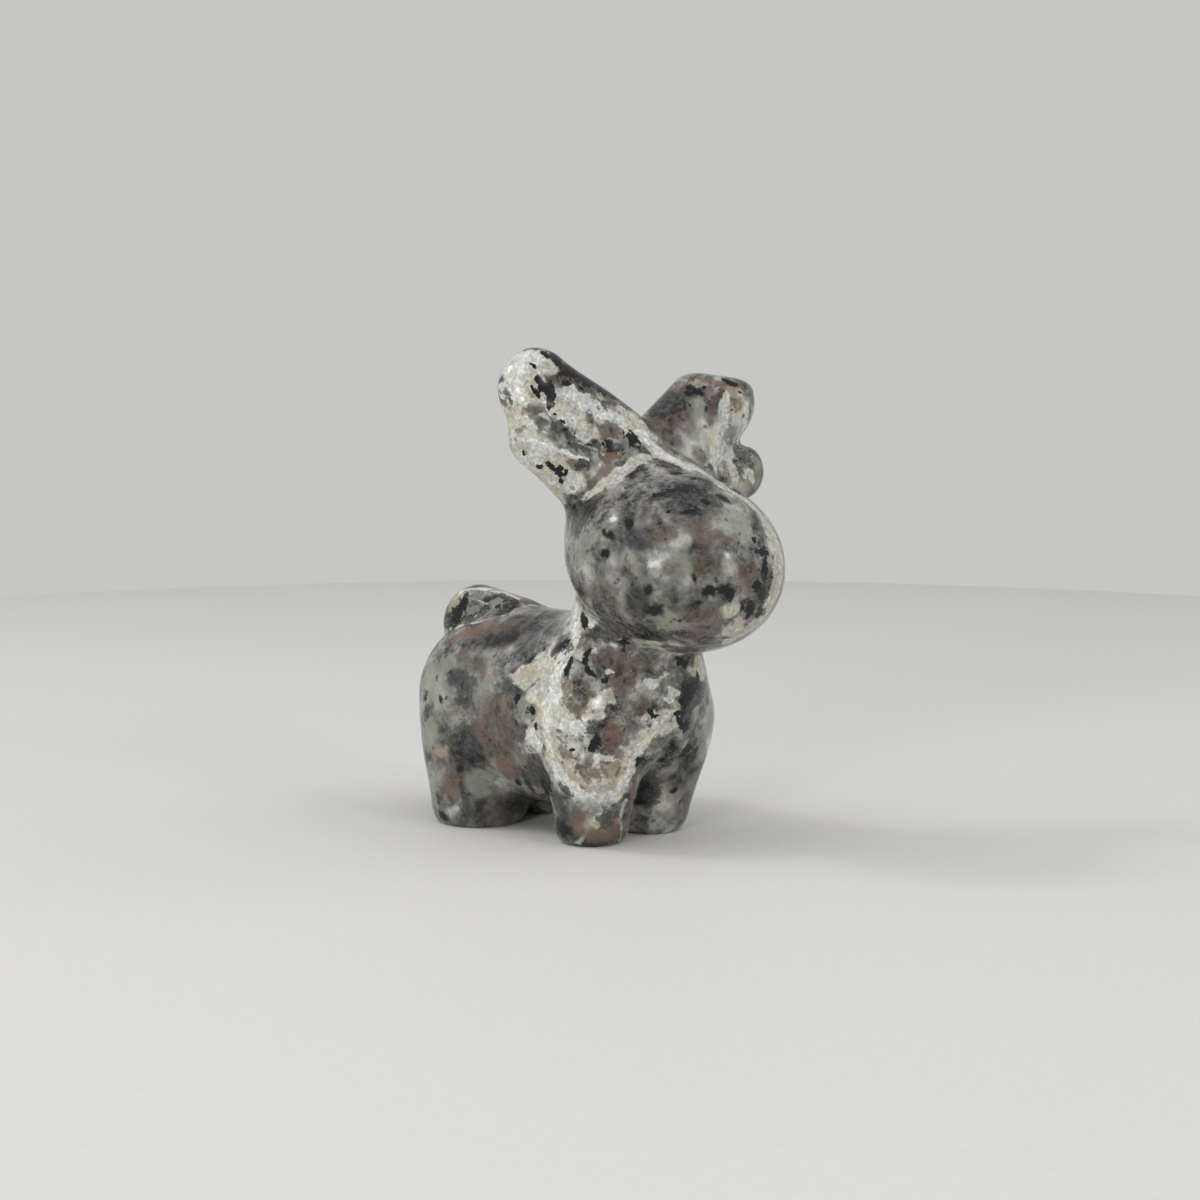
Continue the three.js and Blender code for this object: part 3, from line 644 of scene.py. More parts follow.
# Where the ground stone is lighter or darker than its mean, with painted shade in a few darker places and
# a painted reflection in one lighter place, each noted below: the step at the middle on the scale of
# greys, and then what a spot has
tones = [
    (0.22, 52.0, 37.5, 6, 7), (0.17, 56.5, 41.0, 9, 7, -30), (0.28, 54.6, 45.4, 9, 6, -45),
    # Partly painted shade, partly darker stone: the step at (66.2, 40.8) darkens the far antler's inner
    # side
    (0.09, 62.5, 43.5, 6, 5, -40), (0.05, 60.0, 46.2, 5, 3, 20), (-0.36, 66.2, 40.8, 5, 6, 30),
    (0.30, 70.6, 44.2, 7, 6), (0.25, 74.2, 42.0, 3, 8), (0.10, 74.5, 47.5, 4, 4),
    (-0.06, 66.5, 43.3, 5, 3, -30), (-0.11, 68.5, 49.3, 9, 4, -8), (-0.07, 64.2, 50.2, 5, 3),
    (-0.03, 58.0, 52.0, 4, 5), (0.02, 58.5, 56.0, 4, 5), (-0.03, 64.0, 54.0, 7, 4),
    (-0.12, 70.0, 55.8, 4, 6), (0.08, 74.0, 52.6, 6, 5), (-0.05, 73.0, 57.0, 5, 5),
    (0.04, 77.5, 56.5, 4, 9), (0.05, 66.0, 57.0, 5, 4, 20), (0.05, 60.0, 57.5, 5, 5),
    (-0.02, 64.0, 60.0, 8, 3), (0.0, 70.5, 61.5, 9, 4), (0.05, 74.0, 62.0, 4, 3, 30),
    # Painted shade: the step at (62.5, 63.4) darkens the underside of the head
    (-0.42, 62.5, 63.4, 10, 3), (0.04, 62.0, 66.4, 6, 4), (0.19, 57.8, 62.5, 4, 5),
    (0.10, 55.0, 69.0, 6, 8), (0.09, 58.5, 76.5, 8, 6), (-0.06, 57.6, 69.4, 3, 4),
    (0.06, 66.0, 72.5, 7, 5, 10), (0.15, 70.8, 73.0, 3, 8), (0.07, 65.8, 68.5, 6, 4),
    # Partly painted reflection: the lighter step at (43.5, 69.0) along the rump's left edge
    (0.04, 60.0, 70.4, 6, 6), (0.09, 43.5, 69.0, 5, 7), (0.03, 48.5, 66.3, 8, 5, 20),
    (-0.08, 50.0, 73.5, 8, 8), (-0.12, 46.5, 75.0, 6, 5), (-0.06, 49.0, 80.5, 8, 4),
    # Painted shade: the step at (53.7, 77.6) darkens the belly between the legs
    (0.03, 43.5, 77.5, 3, 6), (-0.40, 53.7, 77.6, 5, 6), (0.12, 60.0, 82.5, 7, 4),
    # Partly painted shade, partly grey-green stone: the step at (49.0, 60.4) darkens the tail's flat side
    (-0.12, 64.8, 79.0, 3, 5), (0.11, 67.0, 81.3, 5, 6), (-0.10, 49.0, 60.4, 9, 3),
    # Partly painted shade, partly darker stone: the step at (51.0, 62.8) darkens the back by the tail's
    # root
    (-0.13, 51.0, 62.8, 11, 3, 15),
]
# Hand-ground ridges (plus) and creases (minus): height, and a line of across, down and half width
reliefs = [
    (0.34, [(52.4, 44.1, 0.7), (54.7, 44.9, 0.75), (57.0, 45.6, 0.75), (58.8, 46.1, 0.6)]),
    (0.24, [(52.8, 40.5, 0.6), (54.2, 41.1, 0.7), (55.4, 41.9, 0.7), (57.2, 42.9, 0.6)]),
    (-0.20, [(50.9, 40.6, 0.9), (52.4, 41.7, 1.0), (54.6, 43.0, 1.0), (57.6, 44.0, 1.0),
             (60.4, 45.2, 0.9)]),
    (-0.28, [(66.0, 44.2, 0.5), (68.6, 45.2, 0.7), (70.8, 46.4, 0.7), (72.4, 47.9, 0.6),
             (74.0, 49.3, 0.4)]),
    (-0.30, [(74.8, 44.0, 0.6), (73.6, 44.9, 0.7), (72.6, 45.9, 0.7), (71.8, 47.0, 0.5)]),
    (0.15, [(61.2, 51.7, 1.6), (61.4, 51.9, 1.6)]),
    (0.16, [(63.8, 57.2, 1.6), (66.2, 55.8, 1.6)]),
    (0.14, [(72.8, 55.4, 2.0), (73.0, 55.8, 2.0)]),
    (-0.14, [(69.8, 53.0, 1.8), (69.6, 57.0, 1.8)]),
    (-0.12, [(62.4, 54.4, 1.5), (66.0, 53.2, 1.5)]),
    (0.24, [(60.5, 69.4, 1.3), (60.9, 70.0, 1.3)]),
    (-0.16, [(56.4, 70.0, 1.0), (57.2, 73.8, 1.2), (59.6, 76.4, 1.2)]),
    (0.10, [(55.4, 71.0, 0.8), (56.2, 75.4, 0.9), (58.6, 79.2, 0.9), (61.6, 79.0, 0.9)]),
    (-0.15, [(44.8, 63.3, 0.35), (47.6, 62.2, 0.4), (50.6, 61.2, 0.4), (53.8, 60.4, 0.35)]),
    (0.10, [(46.2, 59.2, 0.4), (48.6, 59.0, 0.4), (50.6, 59.3, 0.4), (51.8, 60.0, 0.3)]),
    (0.14, [(45.2, 74.2, 0.9), (48.0, 75.6, 0.9), (50.6, 77.4, 0.9), (52.0, 78.4, 0.8)]),
    (-0.16, [(46.6, 76.4, 1.0), (48.8, 78.4, 1.1), (50.6, 79.6, 1.0)]),
]
toneRise = 1.5  # how steeply a tone comes in from the edge of its patch

# Grains, patches and veins of the sides that the view doesn't show
hidden = {
    "area": 1000,  # square millimetres
    # how many there are on that area, and their least and greatest length and width
    "patches": {
        "black": (42, (0.5, 0.35), (2.3, 1.0)),
        "slate": (14, (1.4, 1.0), (3.6, 2.2)),
        "brown": (15, (1.6, 1.2), (5.0, 3.2)),
        "rust": (7, (0.8, 0.6), (2.4, 1.8)),
        "tan": (4, (0.8, 0.6), (2.0, 1.4)),
        "sage": (10, (2.0, 1.2), (4.5, 2.8)),
        "cream": (11, (2.0, 1.2), (5.5, 3.2)),
        "white": (8, (0.9, 0.6), (2.6, 1.6)),
        "clear": (4, (8, 6), (14, 10)),
        "tone": (14, (4, 3), (9, 7)),
    },
    "toneStep": 0.13,
    "sheets": {"cream": 5, "white": 4, "rust": 3},  # veins that run through the stone
    "sheetHalfWidths": (0.2, 0.5),
    "sheetRadii": (6, 11),
    "fade": 0.35,  # how far the surface turns to the view until none are left
    "seed": 5,
}
raggedness = {
    "amount": 0.11,
    "longest": 3.2,
    "shortest": 0.9,
    "waves": 24,
    "grainShare": 0.35,  # the small black grains and the veins are pushed about less
    "seed": 3,
}

# Points moved a little by short random sine waves, so that no spot keeps an even outline
rough = np.random.default_rng(raggedness["seed"])
roughWays = rough.normal(size=(raggedness["waves"], 3))
roughLengths = rough.uniform(raggedness["shortest"], raggedness["longest"], raggedness["waves"])
roughWays *= (2 * np.pi / roughLengths / np.linalg.norm(roughWays, axis=1))[:, None]
roughPushes = rough.normal(size=(raggedness["waves"], 3)) * (roughLengths / raggedness["longest"])[:, None]
roughPhases = rough.uniform(0, 2 * np.pi, raggedness["waves"])
ragged = points + raggedness["amount"] * np.sin(points @ roughWays.T + roughPhases) @ roughPushes
grainPlaces = points + raggedness["grainShare"] * (ragged - points)

# Each kind's value at every point: mineral patches, and in the white, cream, sage, slate and tone kinds
# also painted highlights, painted reflections and painted shade
mineralsAndPaintedLight = {kind: np.full(len(points), -1.0) for kind in spots}
mineralsAndPaintedLight["tone"] = np.zeros(len(points))


def surfaceAt(placeAcross, placeDown):
    # The point that faces the view nearest to that place, and of those the one in front
    off = np.hypot(across - placeAcross, down - placeDown)
    cost = np.where(seen, off, sight["unseenCost"])
    cost += np.where(off < sight["nearEnough"], depth / sight["depthPerCost"], sight["farCost"])
    return np.argmin(cost)


def patchOf(places, at, length, width, way):
    # One less the distance from the patch's centre in half lengths along the surface,
    # and in half the mean of both through the stone
    lengthWay = way - way.dot(normals[at]) * normals[at]
    lengthWay /= np.linalg.norm(lengthWay)
    widthWay = np.cross(normals[at], lengthWay)
    q = places - places[at]
    parts = (q @ lengthWay / length, q @ widthWay / width, q @ normals[at] * 2 / (length + width))
    return 1 - 2 * np.sqrt(sum(part * part for part in parts))


def seenPatch(places, placeAcross, placeDown, length, width, lean=0):
    # A patch whose length and width are as seen, so it is longer where the surface turns away
    at = surfaceAt(placeAcross, placeDown)
    near = depth[at] / view["distance"]
    way = rightward * np.cos(np.radians(lean)) + upward * np.sin(np.radians(lean))
    lengthWay = way - way.dot(normals[at]) * normals[at]
    widthWay = np.cross(normals[at], lengthWay)
    seenLength, seenWidth = (
        max(np.hypot(v.dot(rightward), v.dot(upward)) / np.linalg.norm(v), sight["leastSpread"])
        for v in (lengthWay, widthWay)
    )
    return patchOf(places, at, length * near / seenLength, width * near / seenWidth, way)


def alongLine(places, line):
    # The least distance from a line of straight stretches over its half width there
    stops = [(places[surfaceAt(a, d)], half) for a, d, half in line]
    least = np.full(len(places), np.inf)
    for (start, startHalf), (end, endHalf) in zip(stops, stops[1:]):
        along = end - start
        share = np.clip((places - start) @ along / max(along.dot(along), tiny), 0, 1)
        half = startHalf + (endHalf - startHalf) * share
        away = np.linalg.norm(places - start - share[:, None] * along, axis=1)
        least = np.minimum(least, away / half)
    return least


def softly(value):
    # Eased from 0 to 1 as 3t2 - 2t3
    share = np.clip(value, 0, 1)
    return share * share * (3 - 2 * share)


for kind, places in spots.items():
    for spot in places:
        value = seenPatch(grainPlaces if kind == "black" else ragged, *spot)
        mineralsAndPaintedLight[kind] = np.maximum(mineralsAndPaintedLight[kind], value)
for kind, lines in veins.items():
    for line in lines:
        mineralsAndPaintedLight[kind] = np.maximum(mineralsAndPaintedLight[kind], 1 - alongLine(grainPlaces, line))
for step, *sizes in tones:
    mineralsAndPaintedLight["tone"] += step * softly(seenPatch(ragged, *sizes) * toneRise)
spotCount, veinCount = (sum(map(len, marks.values())) for marks in (spots, veins))
print("carving:", spotCount, "spots and", veinCount, "veins in view")

# The grains of the hidden sides fade out where the surface turns to the view
showing = np.where(seen, softly(facing / hidden["fade"]), 0)
scatter = np.random.default_rng(hidden["seed"])
unseen = np.flatnonzero(~seen)
hiddenArea = len(unseen) * handwork["cell"] ** 2
for kind, (number, least, most) in hidden["patches"].items():
    for at in scatter.choice(unseen, int(number * hiddenArea / hidden["area"])):
        share = scatter.uniform() ** 2
        length, width = (a + (b - a) * share for a, b in zip(least, most))
        value = patchOf(ragged, at, length, width, scatter.normal(size=3))
        if kind == "tone":
            step = scatter.uniform(-hidden["toneStep"], hidden["toneStep"])
            mineralsAndPaintedLight[kind] += step * softly(value * toneRise) * (1 - showing)
        else:
            mineralsAndPaintedLight[kind] = np.maximum(mineralsAndPaintedLight[kind], value - 2 * showing)  # it is 1 at most
for kind, number in hidden["sheets"].items():
    for at in scatter.choice(unseen, number):
        half = scatter.uniform(*hidden["sheetHalfWidths"])
        radius = scatter.uniform(*hidden["sheetRadii"])
        sheetWay = scatter.normal(size=3)
        sheetWay /= np.linalg.norm(sheetWay)
        q = ragged - points[at]
        value = 1 - np.abs(q @ sheetWay) / half - (np.linalg.norm(q, axis=1) / radius) ** 4
        mineralsAndPaintedLight[kind] = np.maximum(mineralsAndPaintedLight[kind], np.where(seen, -1, value))

# Each ridge or crease is its height times e to the minus square of the distance in half widths
raised = sum(height * np.exp(-alongLine(points, line) ** 2) for height, line in reliefs)
points = points + raised[:, None] * normals
points[:, 2] = np.maximum(points[:, 2], 0)

carvingPoints = (points - [middle[0], middle[1], 0]) * mm
carvingPoints += [(cadLow[0] + cadHigh[0]) / 2, (cadLow[1] + cadHigh[1]) / 2, cadLow[2]]
reindeer = meshOf("reindeer_stone", carvingPoints, quads)
for kind, values in mineralsAndPaintedLight.items():
    layer = reindeer.data.attributes.new(kind, "FLOAT", "POINT")
    layer.data.foreach_set("value", values.astype(np.float32))
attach(reindeer, "root")
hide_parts("reindeer_carving")

# Colours of the minerals, each with its place on the scale that its clouds run along where it
# has several, and what makes the stone uneven. Lengths are millimetres.
stone = {
    "greys": [
        (0.36, (0.014, 0.015, 0.016)),
        (0.43, (0.054, 0.052, 0.048)),
        (0.50, (0.128, 0.124, 0.111)),
        (0.57, (0.225, 0.222, 0.198)),
        (0.66, (0.37, 0.365, 0.32)),
        (0.78, (0.55, 0.54, 0.48)),
    ],
    "creams": [
        (0.28, (0.24, 0.22, 0.18)),
        (0.40, (0.40, 0.38, 0.32)),
        (0.50, (0.49, 0.475, 0.41)),
        (0.62, (0.64, 0.63, 0.57)),
    ],
    "whites": [(0.36, (0.435, 0.45, 0.415)), (0.60, (0.72, 0.735, 0.695))],
    "slates": [(0.36, (0.010, 0.012, 0.013)), (0.64, (0.075, 0.080, 0.080))],
    "browns": [(0.34, (0.066, 0.050, 0.041)), (0.66, (0.165, 0.130, 0.103))],
    "rust": (0.165, 0.098, 0.072),
    "tan": (0.38, 0.315, 0.24),
    "sage": (0.235, 0.250, 0.205),
    "threads": (0.42, 0.415, 0.37),
    "black": (0.002, 0.0025, 0.003),
    "blackWorn": (0.011, 0.014, 0.016),
    # size and offset of the clouds, and the two tints that they run between
    "hues": [
        (1.5, 140, (0.98, 1.0, 1.13), (1.02, 1.0, 0.88)),
        (1.1, 170, (0.95, 1.01, 1.0), (1.05, 0.99, 0.99)),
    ],
    "hueDetail": 4,
    "hueSpan": (0.3, 0.7),
    # noise scale, detail and reach of the pushes that keep clouds from running straight
    "broadPush": (0.55, 3, 1.6),
    "smallPush": (1.7, 2, 0.8),
    # size, detail and offset
    "broadCloud": (2.2, 5, 0),
    "smallCloud": (0.7, 5, 31),
    "fineCloud": (0.34, 3, 57),
    "flakyCloud": (0.5, 4, 91),
    "threadCloud": (1.3, 4, 12),
    "threadBreaks": (2, 2, 70),
    "cloudRoughness": 0.6,
    # a number where the stone is cloudy, and its change where it is clear
    "broadTone": (0.95, -0.25),
    "smallTone": (0.34, -0.30),
    "grainShade": (1, -0.6),
    "threadAmount": (0.95, -0.85),
    "whiteAmount": (0.75, -0.4),
    "softEdge": (0.16, 0.42),
    "slateEdge": (0.15, 0.2),
    "blackEdge": (0.06, 0.40),
    "blackRaggedness": (2.9, -1.2),
    "clearRaggedness": 1,
    "clearEdge": 0.25,
    "threadHalf": 0.03,
    "threadStrength": 0.5,
    "grainyShares": (0.4, 0.6),  # of the fine and of the small clouds
    "speckScale": 0.55,
    "speckSpan": (0.17, 0.1),
    "speckFloor": 0.42,
    "speckAmount": 0.7,
    "roughness": 0.16,
    "roughnessSwing": 0.3,
    "blackRoughness": 0.1,
    "dips": {"black": -0.6, "fine": 0.25, "small": 0.5},
    "dipStrength": 0.16,
    "dipDepth": 0.05,
    "specular": 0.3,
    "scatter": 0.03,
    "scatterRadius": (1.0, 0.9, 0.8),
    "scatterDepth": 0.4,
}


def place(tree, kind, inputs=None, **settings):
    # A node with its settings, its inputs given as values or as the sockets that feed them
    node = tree.nodes.new("ShaderNode" + kind)
    for name, value in settings.items():
        setattr(node, name, value)
    for name, value in (inputs or {}).items():
        if isinstance(value, bpy.types.NodeSocket):
            tree.links.new(value, node.inputs[name])
        else:
            node.inputs[name].default_value = value
    return node


def newGroup(name, inputs, outputs):
    # A node group with named number sockets, each with its default value
    tree = bpy.data.node_groups.new(name, "ShaderNodeTree")
    for label, (kind, value) in inputs.items():
        socket = tree.interface.new_socket(label, in_out="INPUT", socket_type="NodeSocket" + kind)
        if value is not None:
            socket.default_value = value
    for label, kind in outputs.items():
        tree.interface.new_socket(label, in_out="OUTPUT", socket_type="NodeSocket" + kind)
    return tree, tree.nodes.new("NodeGroupInput").outputs, tree.nodes.new("NodeGroupOutput").inputs


def cloudGroup():
    # Uneven clouds of a given size in millimetres, from 0 to 1 with most near a half
    tree, given, made = newGroup(
        "stoneClouds",
        {
            "Place": ("Vector", None), "Size": ("Float", 1), "Detail": ("Float", 4),
            "Offset": ("Float", 0),
        },
        {"Cloud": "Float"},
    )
    fineness = place(tree, "Math", {0: 1.0, 1: given["Size"]}, operation="DIVIDE")
    moved = place(tree, "VectorMath", {0: given["Place"], 1: given["Offset"]}, operation="ADD")
    noise = place(tree, "TexNoise", {
        "Vector": moved.outputs[0],
        "Scale": fineness.outputs[0],
        "Detail": given["Detail"],
        "Roughness": stone["cloudRoughness"],
    })
    tree.links.new(noise.outputs[0], made["Cloud"])
    return tree


def patchGroup():
    # A mineral's patch: its even value, made ragged, and cut off over a hard or soft edge
    tree, given, made = newGroup(
        "mineralPatch",
        {
            "Value": ("Float", 0), "Ragged": ("Float", 0.5), "Raggedness": ("Float", 1),
            "Softness": ("Float", 0.2), "Amount": ("Float", 1),
        },
        {"Patch": "Float"},
    )
    off = place(tree, "Math", {0: given["Ragged"], 1: 0.5}, operation="SUBTRACT")
    uneven = place(
        tree, "Math", {0: off.outputs[0], 1: given["Raggedness"], 2: given["Value"]},
        operation="MULTIPLY_ADD",
    )
    below = place(tree, "Math", {0: given["Softness"], 1: -1.0}, operation="MULTIPLY")
    edge = place(
        tree, "MapRange",
        {"Value": uneven.outputs[0], "From Min": below.outputs[0], "From Max": given["Softness"]},
        interpolation_type="SMOOTHSTEP",
    )
    amount = place(tree, "Math", {0: edge.outputs[0], 1: given["Amount"]}, operation="MULTIPLY")
    tree.links.new(amount.outputs[0], made["Patch"])
    return tree


def stoneMaterial():
    # Colour from the bottom layer up: greys, threads, minerals with their painted highlights, reflections
    # and shade, fine grain, hues, black grains
    material = bpy.data.materials.new("polishedSpeckledStone")
    material.use_nodes = True
    tree = material.node_tree
    tree.nodes.clear()
    clouds, patch = cloudGroup(), patchGroup()

    def cloud(where, size, detail, offset):
        inputs = {"Place": where, "Size": size, "Detail": detail, "Offset": offset}
        return place(tree, "Group", inputs, node_tree=clouds).outputs[0]

    # One kind's attribute: its mineral, and for some kinds painted highlights, reflections and shade as
    # well
    def mineralAndPaintedLight(kind):
        return place(tree, "Attribute", attribute_name=kind).outputs["Fac"]

    def mask(kind, ragged, raggedness, softness, amount=1):
        inputs = {
            "Value": mineralAndPaintedLight(kind), "Ragged": ragged, "Raggedness": raggedness,
            "Softness": softness, "Amount": amount,
        }
        return place(tree, "Group", inputs, node_tree=patch).outputs[0]

    def math(operation, first, second, third=0):
        return place(tree, "Math", {0: first, 1: second, 2: third}, operation=operation).outputs[0]

    def fromMiddle(value):
        return math("SUBTRACT", value, 0.5)

    def spread(value, low, high, top=1):
        inputs = {"Value": value, "From Min": low, "From Max": high, "To Max": top}
        return place(tree, "MapRange", inputs).outputs[0]

    def mix(share, first, second, blend="MIX"):
        first, second = (
            value if isinstance(value, bpy.types.NodeSocket) else (*value, 1) for value in (first, second)
        )
        inputs = {0: share, 6: first, 7: second}
        return place(tree, "Mix", inputs, data_type="RGBA", blend_type=blend).outputs[2]

    def ramp(value, stops):
        node = place(tree, "ValToRGB", {0: value})
        steps = node.color_ramp.elements
        for number, (position, colour) in enumerate(stops):
            step = steps[number] if number < 2 else steps.new(position)
            step.position = position
            step.color = (*colour, 1)
        return node.outputs[0]

    # Places in millimetres, and the same pushed about so that nothing runs straight
    objectPlace = place(tree, "TexCoord").outputs["Object"]
    inMm = place(tree, "VectorMath", {0: objectPlace, "Scale": 1 / mm}, operation="SCALE").outputs[0]

    def pushedBy(scale, detail, reach):
        way = place(tree, "TexNoise", {"Vector": inMm, "Scale": scale, "Detail": detail}).outputs["Color"]
        inputs = {0: way, 1: (reach, reach, reach), 2: inMm}
        return place(tree, "VectorMath", inputs, operation="MULTIPLY_ADD").outputs[0]

    pushed, nudged = pushedBy(*stone["broadPush"]), pushedBy(*stone["smallPush"])
    broad = cloud(pushed, *stone["broadCloud"])
    small = cloud(nudged, *stone["smallCloud"])
    fine = cloud(nudged, *stone["fineCloud"])
    flaky = cloud(nudged, *stone["flakyCloud"])
    clear = mask("clear", broad, stone["clearRaggedness"], stone["clearEdge"])

    def whereClear(name):
        cloudy, change = stone[name]
        return math("MULTIPLY_ADD", clear, change, cloudy)

    # Feldspar and quartz in greys, with fewer small grains where the stone is clear, shifted by the tone
    # attribute, parts of which are painted shade and a painted reflection
    tone = math("MULTIPLY", fromMiddle(broad), whereClear("broadTone"))
    tone = math("MULTIPLY_ADD", fromMiddle(small), whereClear("smallTone"), tone)
    tone = math("ADD", math("ADD", tone, 0.5), mineralAndPaintedLight("tone"))
    colour = ramp(tone, stone["greys"])

    # Pale threads along the grain boundaries
    offThread = math("ABSOLUTE", fromMiddle(cloud(pushed, *stone["threadCloud"])), 0)
    threads = spread(offThread, stone["threadHalf"], 0, stone["threadStrength"])
    threads = math("MULTIPLY", threads, whereClear("threadAmount"))
    threads = math("MULTIPLY", threads, cloud(pushed, *stone["threadBreaks"]))
    colour = mix(threads, colour, stone["threads"])

    # Each mineral in turn: what makes it ragged and how much, its edge, amount and colour. The white,
    # cream and sage layers also carry painted highlights and painted reflections, and the slate layer
    # painted shade.
    softEdge = whereClear("softEdge")
    fineShare, smallShare = stone["grainyShares"]
    grainy = math("MULTIPLY_ADD", fine, fineShare, math("MULTIPLY", small, smallShare))
    layers = [
        ("sage", small, 2.2, softEdge, 0.75, stone["sage"]),
        ("cream", broad, 1.5, softEdge, 0.85, ramp(grainy, stone["creams"])),
        ("brown", flaky, 2.4, softEdge, 0.75, ramp(flaky, stone["browns"])),
        ("tan", small, 2.2, softEdge, 0.65, stone["tan"]),
        ("rust", flaky, 2.6, softEdge, 0.7, stone["rust"]),
        ("white", small, 1.8, softEdge, whereClear("whiteAmount"), ramp(grainy, stone["whites"])),
        ("slate", flaky, 3.2, whereClear("slateEdge"), 0.85, ramp(flaky, stone["slates"])),
    ]
    for kind, ragged, raggedness, softness, amount, paint in layers:
        colour = mix(mask(kind, ragged, raggedness, softness, amount), colour, paint)

    # Fine grain in every mineral
    grainShade = math("MULTIPLY_ADD", fromMiddle(fine), whereClear("grainShade"), 1)
    shade = place(tree, "CombineColor", {0: grainShade, 1: grainShade, 2: grainShade}).outputs[0]
    colour = mix(1, colour, shade, "MULTIPLY")

    # Slow changes of hue through all minerals: yellowish to bluish, and greenish to reddish
    for size, offset, coolTint, warmTint in stone["hues"]:
        hue = spread(cloud(nudged, size, stone["hueDetail"], offset), *stone["hueSpan"])
        colour = mix(1, colour, mix(hue, coolTint, warmTint), "MULTIPLY")

    # Black grains, crisp where the stone is cloudy and soft where it is clear
    speck = place(tree, "TexVoronoi", {"Vector": pushed, "Scale": stone["speckScale"], "Randomness": 1})
    specks = spread(speck.outputs["Distance"], *stone["speckSpan"])
    specks = math("MULTIPLY", specks, math("GREATER_THAN", fine, stone["speckFloor"]))
    black = mask("black", flaky, whereClear("blackRaggedness"), whereClear("blackEdge"))
    black = math("MAXIMUM", black, math("MULTIPLY", specks, stone["speckAmount"]))
    colour = mix(black, colour, mix(small, stone["black"], stone["blackWorn"]))

    # The polish is a little duller on the dark grains and uneven all over
    swing, dips = stone["roughnessSwing"], stone["dips"]
    roughness = math("MULTIPLY_ADD", small, swing, stone["roughness"] - swing / 2)
    roughness = math("MULTIPLY_ADD", black, stone["blackRoughness"], roughness)
    height = math("MULTIPLY_ADD", fine, dips["fine"], math("MULTIPLY", small, dips["small"]))
    height = math("MULTIPLY_ADD", black, dips["black"], height)
    bump = place(tree, "Bump", {
        "Height": height,
        "Strength": stone["dipStrength"],
        "Distance": stone["dipDepth"] * mm,
    })

    shader = place(tree, "BsdfPrincipled", {
        "Base Color": colour,
        "Roughness": roughness,
        "IOR": 1.5,
        "Specular IOR Level": stone["specular"],
        "Subsurface Weight": stone["scatter"],
        "Subsurface Radius": stone["scatterRadius"],
        "Subsurface Scale": stone["scatterDepth"] * mm,
        "Normal": bump.outputs[0],
    })
    output = place(tree, "OutputMaterial")
    tree.links.new(shader.outputs[0], output.inputs["Surface"])
    return material


reindeer.data.materials.append(stoneMaterial())
print("carving: stone material ready")

# A round pale table top, as a profile carried about the middle
table = {
    "radius": 230,
    "edge": 3,
    "thickness": 14,
    "steps": 12,
    "sides": 192,
    "colour": (0.67, 0.663, 0.635),
    "roughness": 0.6,
    "specular": 0.2,
    "mottle": 0.03,
    "mottleScale": 900,
    "mottleDetail": 4,
}


def tableProfile():
    # Radius and height: out along the top, a quarter round down, and straight down the side
    bend = np.linspace(0, np.pi / 2, table["steps"])
    rings = np.linspace(0, table["radius"] - table["edge"], table["steps"], endpoint=False)[1:]
    corner = table["radius"] - table["edge"] * (1 - np.sin(bend))
    radius = np.concatenate([rings, corner, [table["radius"]]])
    height = np.concatenate([0 * rings, table["edge"] * (np.cos(bend) - 1), [-table["thickness"]]])
    return radius, height


radius, height = tableProfile()
around = np.linspace(0, 2 * np.pi, table["sides"], endpoint=False)
ringPoints = np.stack([
    np.outer(radius, np.cos(around)),
    np.outer(radius, np.sin(around)),
    np.repeat(height[:, None], table["sides"], 1),
], -1).reshape(-1, 3)
index = np.arange(len(ringPoints)).reshape(len(radius), table["sides"])
onward = np.roll(index, -1, axis=1)
sides = np.stack([index[:-1], index[1:], onward[1:], onward[:-1]], -1).reshape(-1, 4)
centre = np.stack([index[0], onward[0]], -1)
tableMesh = bpy.data.meshes.new("table")
tableMesh.from_pydata(
    (np.vstack([ringPoints, [[0, 0, 0]]]) * mm).tolist(),
    [],
    sides.tolist() + [[len(ringPoints), a, b] for a, b in centre.tolist()],
)
tableMesh.shade_smooth()
floor = bpy.data.objects.new("table", tableMesh)
bpy.context.scene.collection.objects.link(floor)

paper = bpy.data.materials.new("paleTable")
paper.use_nodes = True
paperTree = paper.node_tree
paperShader = paperTree.nodes["Principled BSDF"]
paperShader.inputs["Roughness"].default_value = table["roughness"]
paperShader.inputs["Specular IOR Level"].default_value = table["specular"]
paperNoise = place(paperTree, "TexNoise", {
    "Vector": place(paperTree, "TexCoord").outputs["Object"],
    "Scale": table["mottleScale"],
    "Detail": table["mottleDetail"],
})
darker, lighter = (
    (*[c * (1 + way * table["mottle"]) for c in table["colour"]], 1) for way in (-1, 1)
)
paperColour = place(
    paperTree, "Mix", {0: paperNoise.outputs[0], 6: darker, 7: lighter}, data_type="RGBA"
)
paperTree.links.new(paperColour.outputs[2], paperShader.inputs["Base Color"])
tableMesh.materials.append(paper)

# Lamps: direction as azimuth and elevation, distance, size and watts. The small ones show
# as glints in the polish, and the wide ones only fill.
lamps = {
    "left": (-130, 40, 460, 420, 0.66),
    "right": (42, 38, 460, 420, 0.68),
    "front": (-73, 9, 430, 110, 0.62),
    "high": (-140, 44, 450, 80, 0.36),
    "side": (2, 27, 450, 70, 0.27),
    "top": (-45, 80, 460, 420, 0.56),
}
fillSize = 400
worldLight = 0.28
backdropColour = (0.57, 0.565, 0.55)


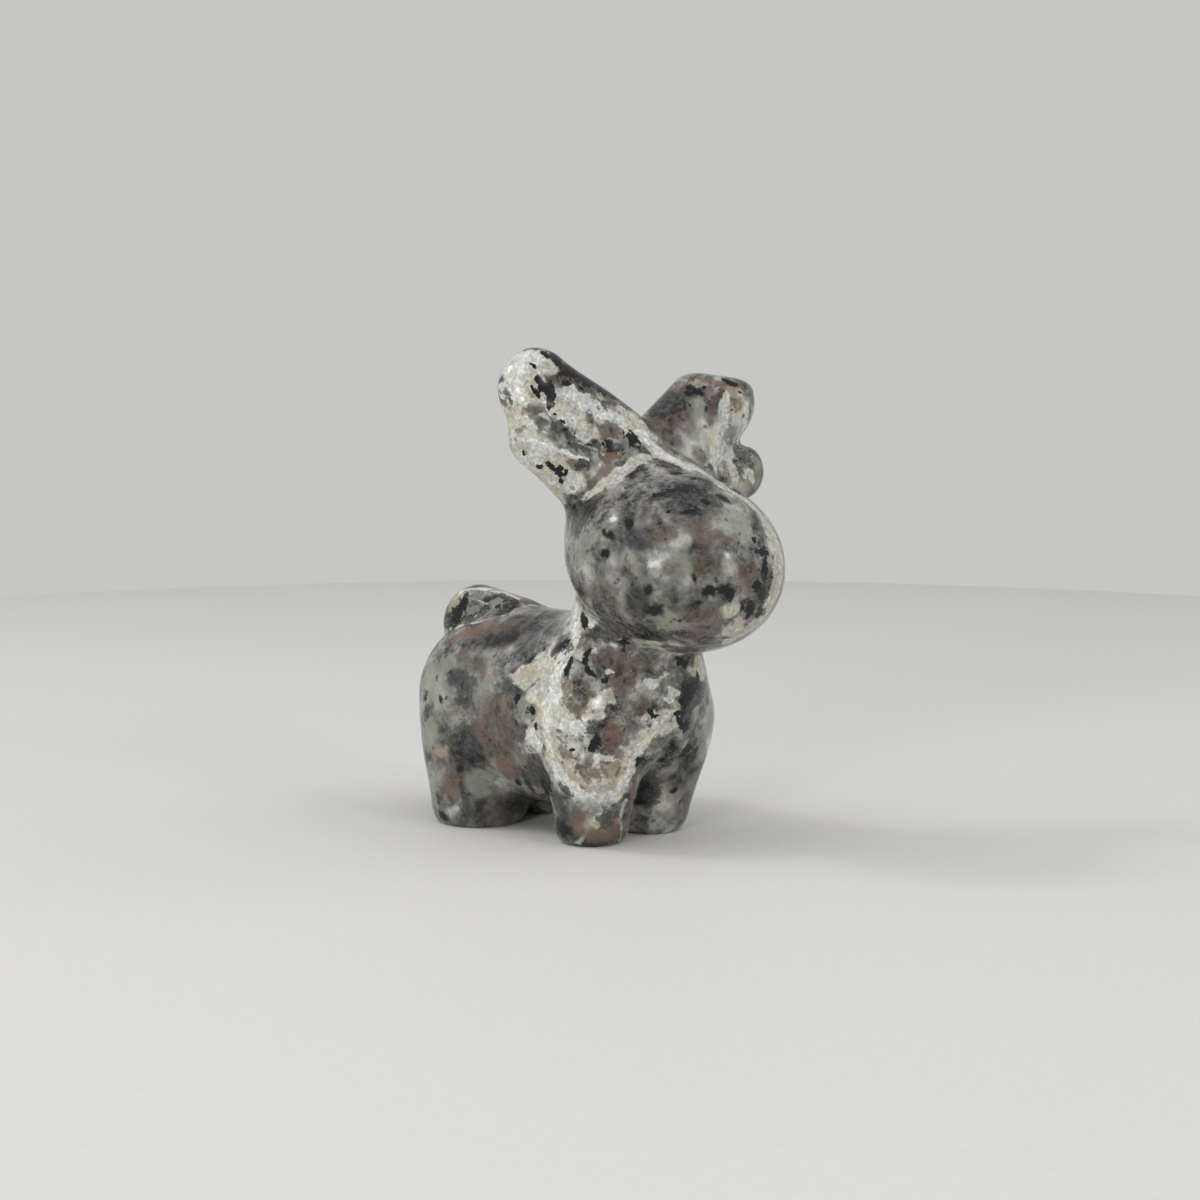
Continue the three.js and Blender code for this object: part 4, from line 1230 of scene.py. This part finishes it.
def addLamp(name, azimuthDegrees, elevationDegrees, distance, size, watts):
    # A square lamp out along its azimuth and elevation, facing the middle of the carving
    lamp = bpy.data.lights.new(name, "AREA")
    lamp.size = size * mm
    lamp.energy = watts
    a, e = np.radians(azimuthDegrees), np.radians(elevationDegrees)
    out = Matrix.Rotation(a, 4, "Z") @ Matrix.Rotation(np.pi / 2 - e, 4, "X")
    piece = bpy.data.objects.new(name, lamp)
    piece.visible_glossy = size < fillSize
    bpy.context.scene.collection.objects.link(piece)
    aim = Matrix.Translation((0, 0, (cadHigh[2] + cadLow[2]) / 2))
    piece.matrix_world = aim @ out @ Matrix.Translation((0, 0, distance * mm))


for name, values in lamps.items():
    addLamp(name, *values)
world = bpy.data.worlds.new("studio")
world.use_nodes = True
worldTree = world.node_tree
worldShade = worldTree.nodes["Background"]
worldShade.inputs["Strength"].default_value = worldLight

# What is seen behind the table, and in the polish, is a pale backdrop
ray = place(worldTree, "LightPath").outputs
seenRays = place(worldTree, "Math", {0: ray["Is Camera Ray"], 1: ray["Is Glossy Ray"]}, operation="ADD")
seenRays = place(
    worldTree, "Math", {0: seenRays.outputs[0], 1: ray["Is Transmission Ray"]},
    operation="ADD", use_clamp=True,
)
backdrop = place(worldTree, "Background", {"Color": (*backdropColour, 1), "Strength": 1})
worldMix = place(worldTree, "MixShader", {
    0: seenRays.outputs[0], 1: worldShade.outputs[0], 2: backdrop.outputs[0],
})
worldShade.inputs["Color"].default_value = (1, 1, 1, 1)
worldTree.links.new(worldMix.outputs[0], worldTree.nodes["World Output"].inputs["Surface"])
bpy.context.scene.world = world

camera = bpy.data.cameras.new("camera")
camera.sensor_fit = "HORIZONTAL"
camera.sensor_width = view["sensor"]
camera.lens = view["sensor"] * view["distance"] / view["size"]
camera.clip_start = view["clipStart"] * mm
cameraPiece = bpy.data.objects.new("camera", camera)
bpy.context.scene.collection.objects.link(cameraPiece)
cameraWays = np.stack([rightward, upward, backward], 1).tolist()
cameraPlace = ((eye - [middle[0], middle[1], 0]) * mm).tolist()
cameraPiece.matrix_world = Matrix([
    *[(*ways, at) for ways, at in zip(cameraWays, cameraPlace)],
    (0, 0, 0, 1),
])
bpy.context.scene.camera = cameraPiece
bpy.context.scene.view_settings.view_transform = "Standard"
print("stage: table, lamps and camera ready")
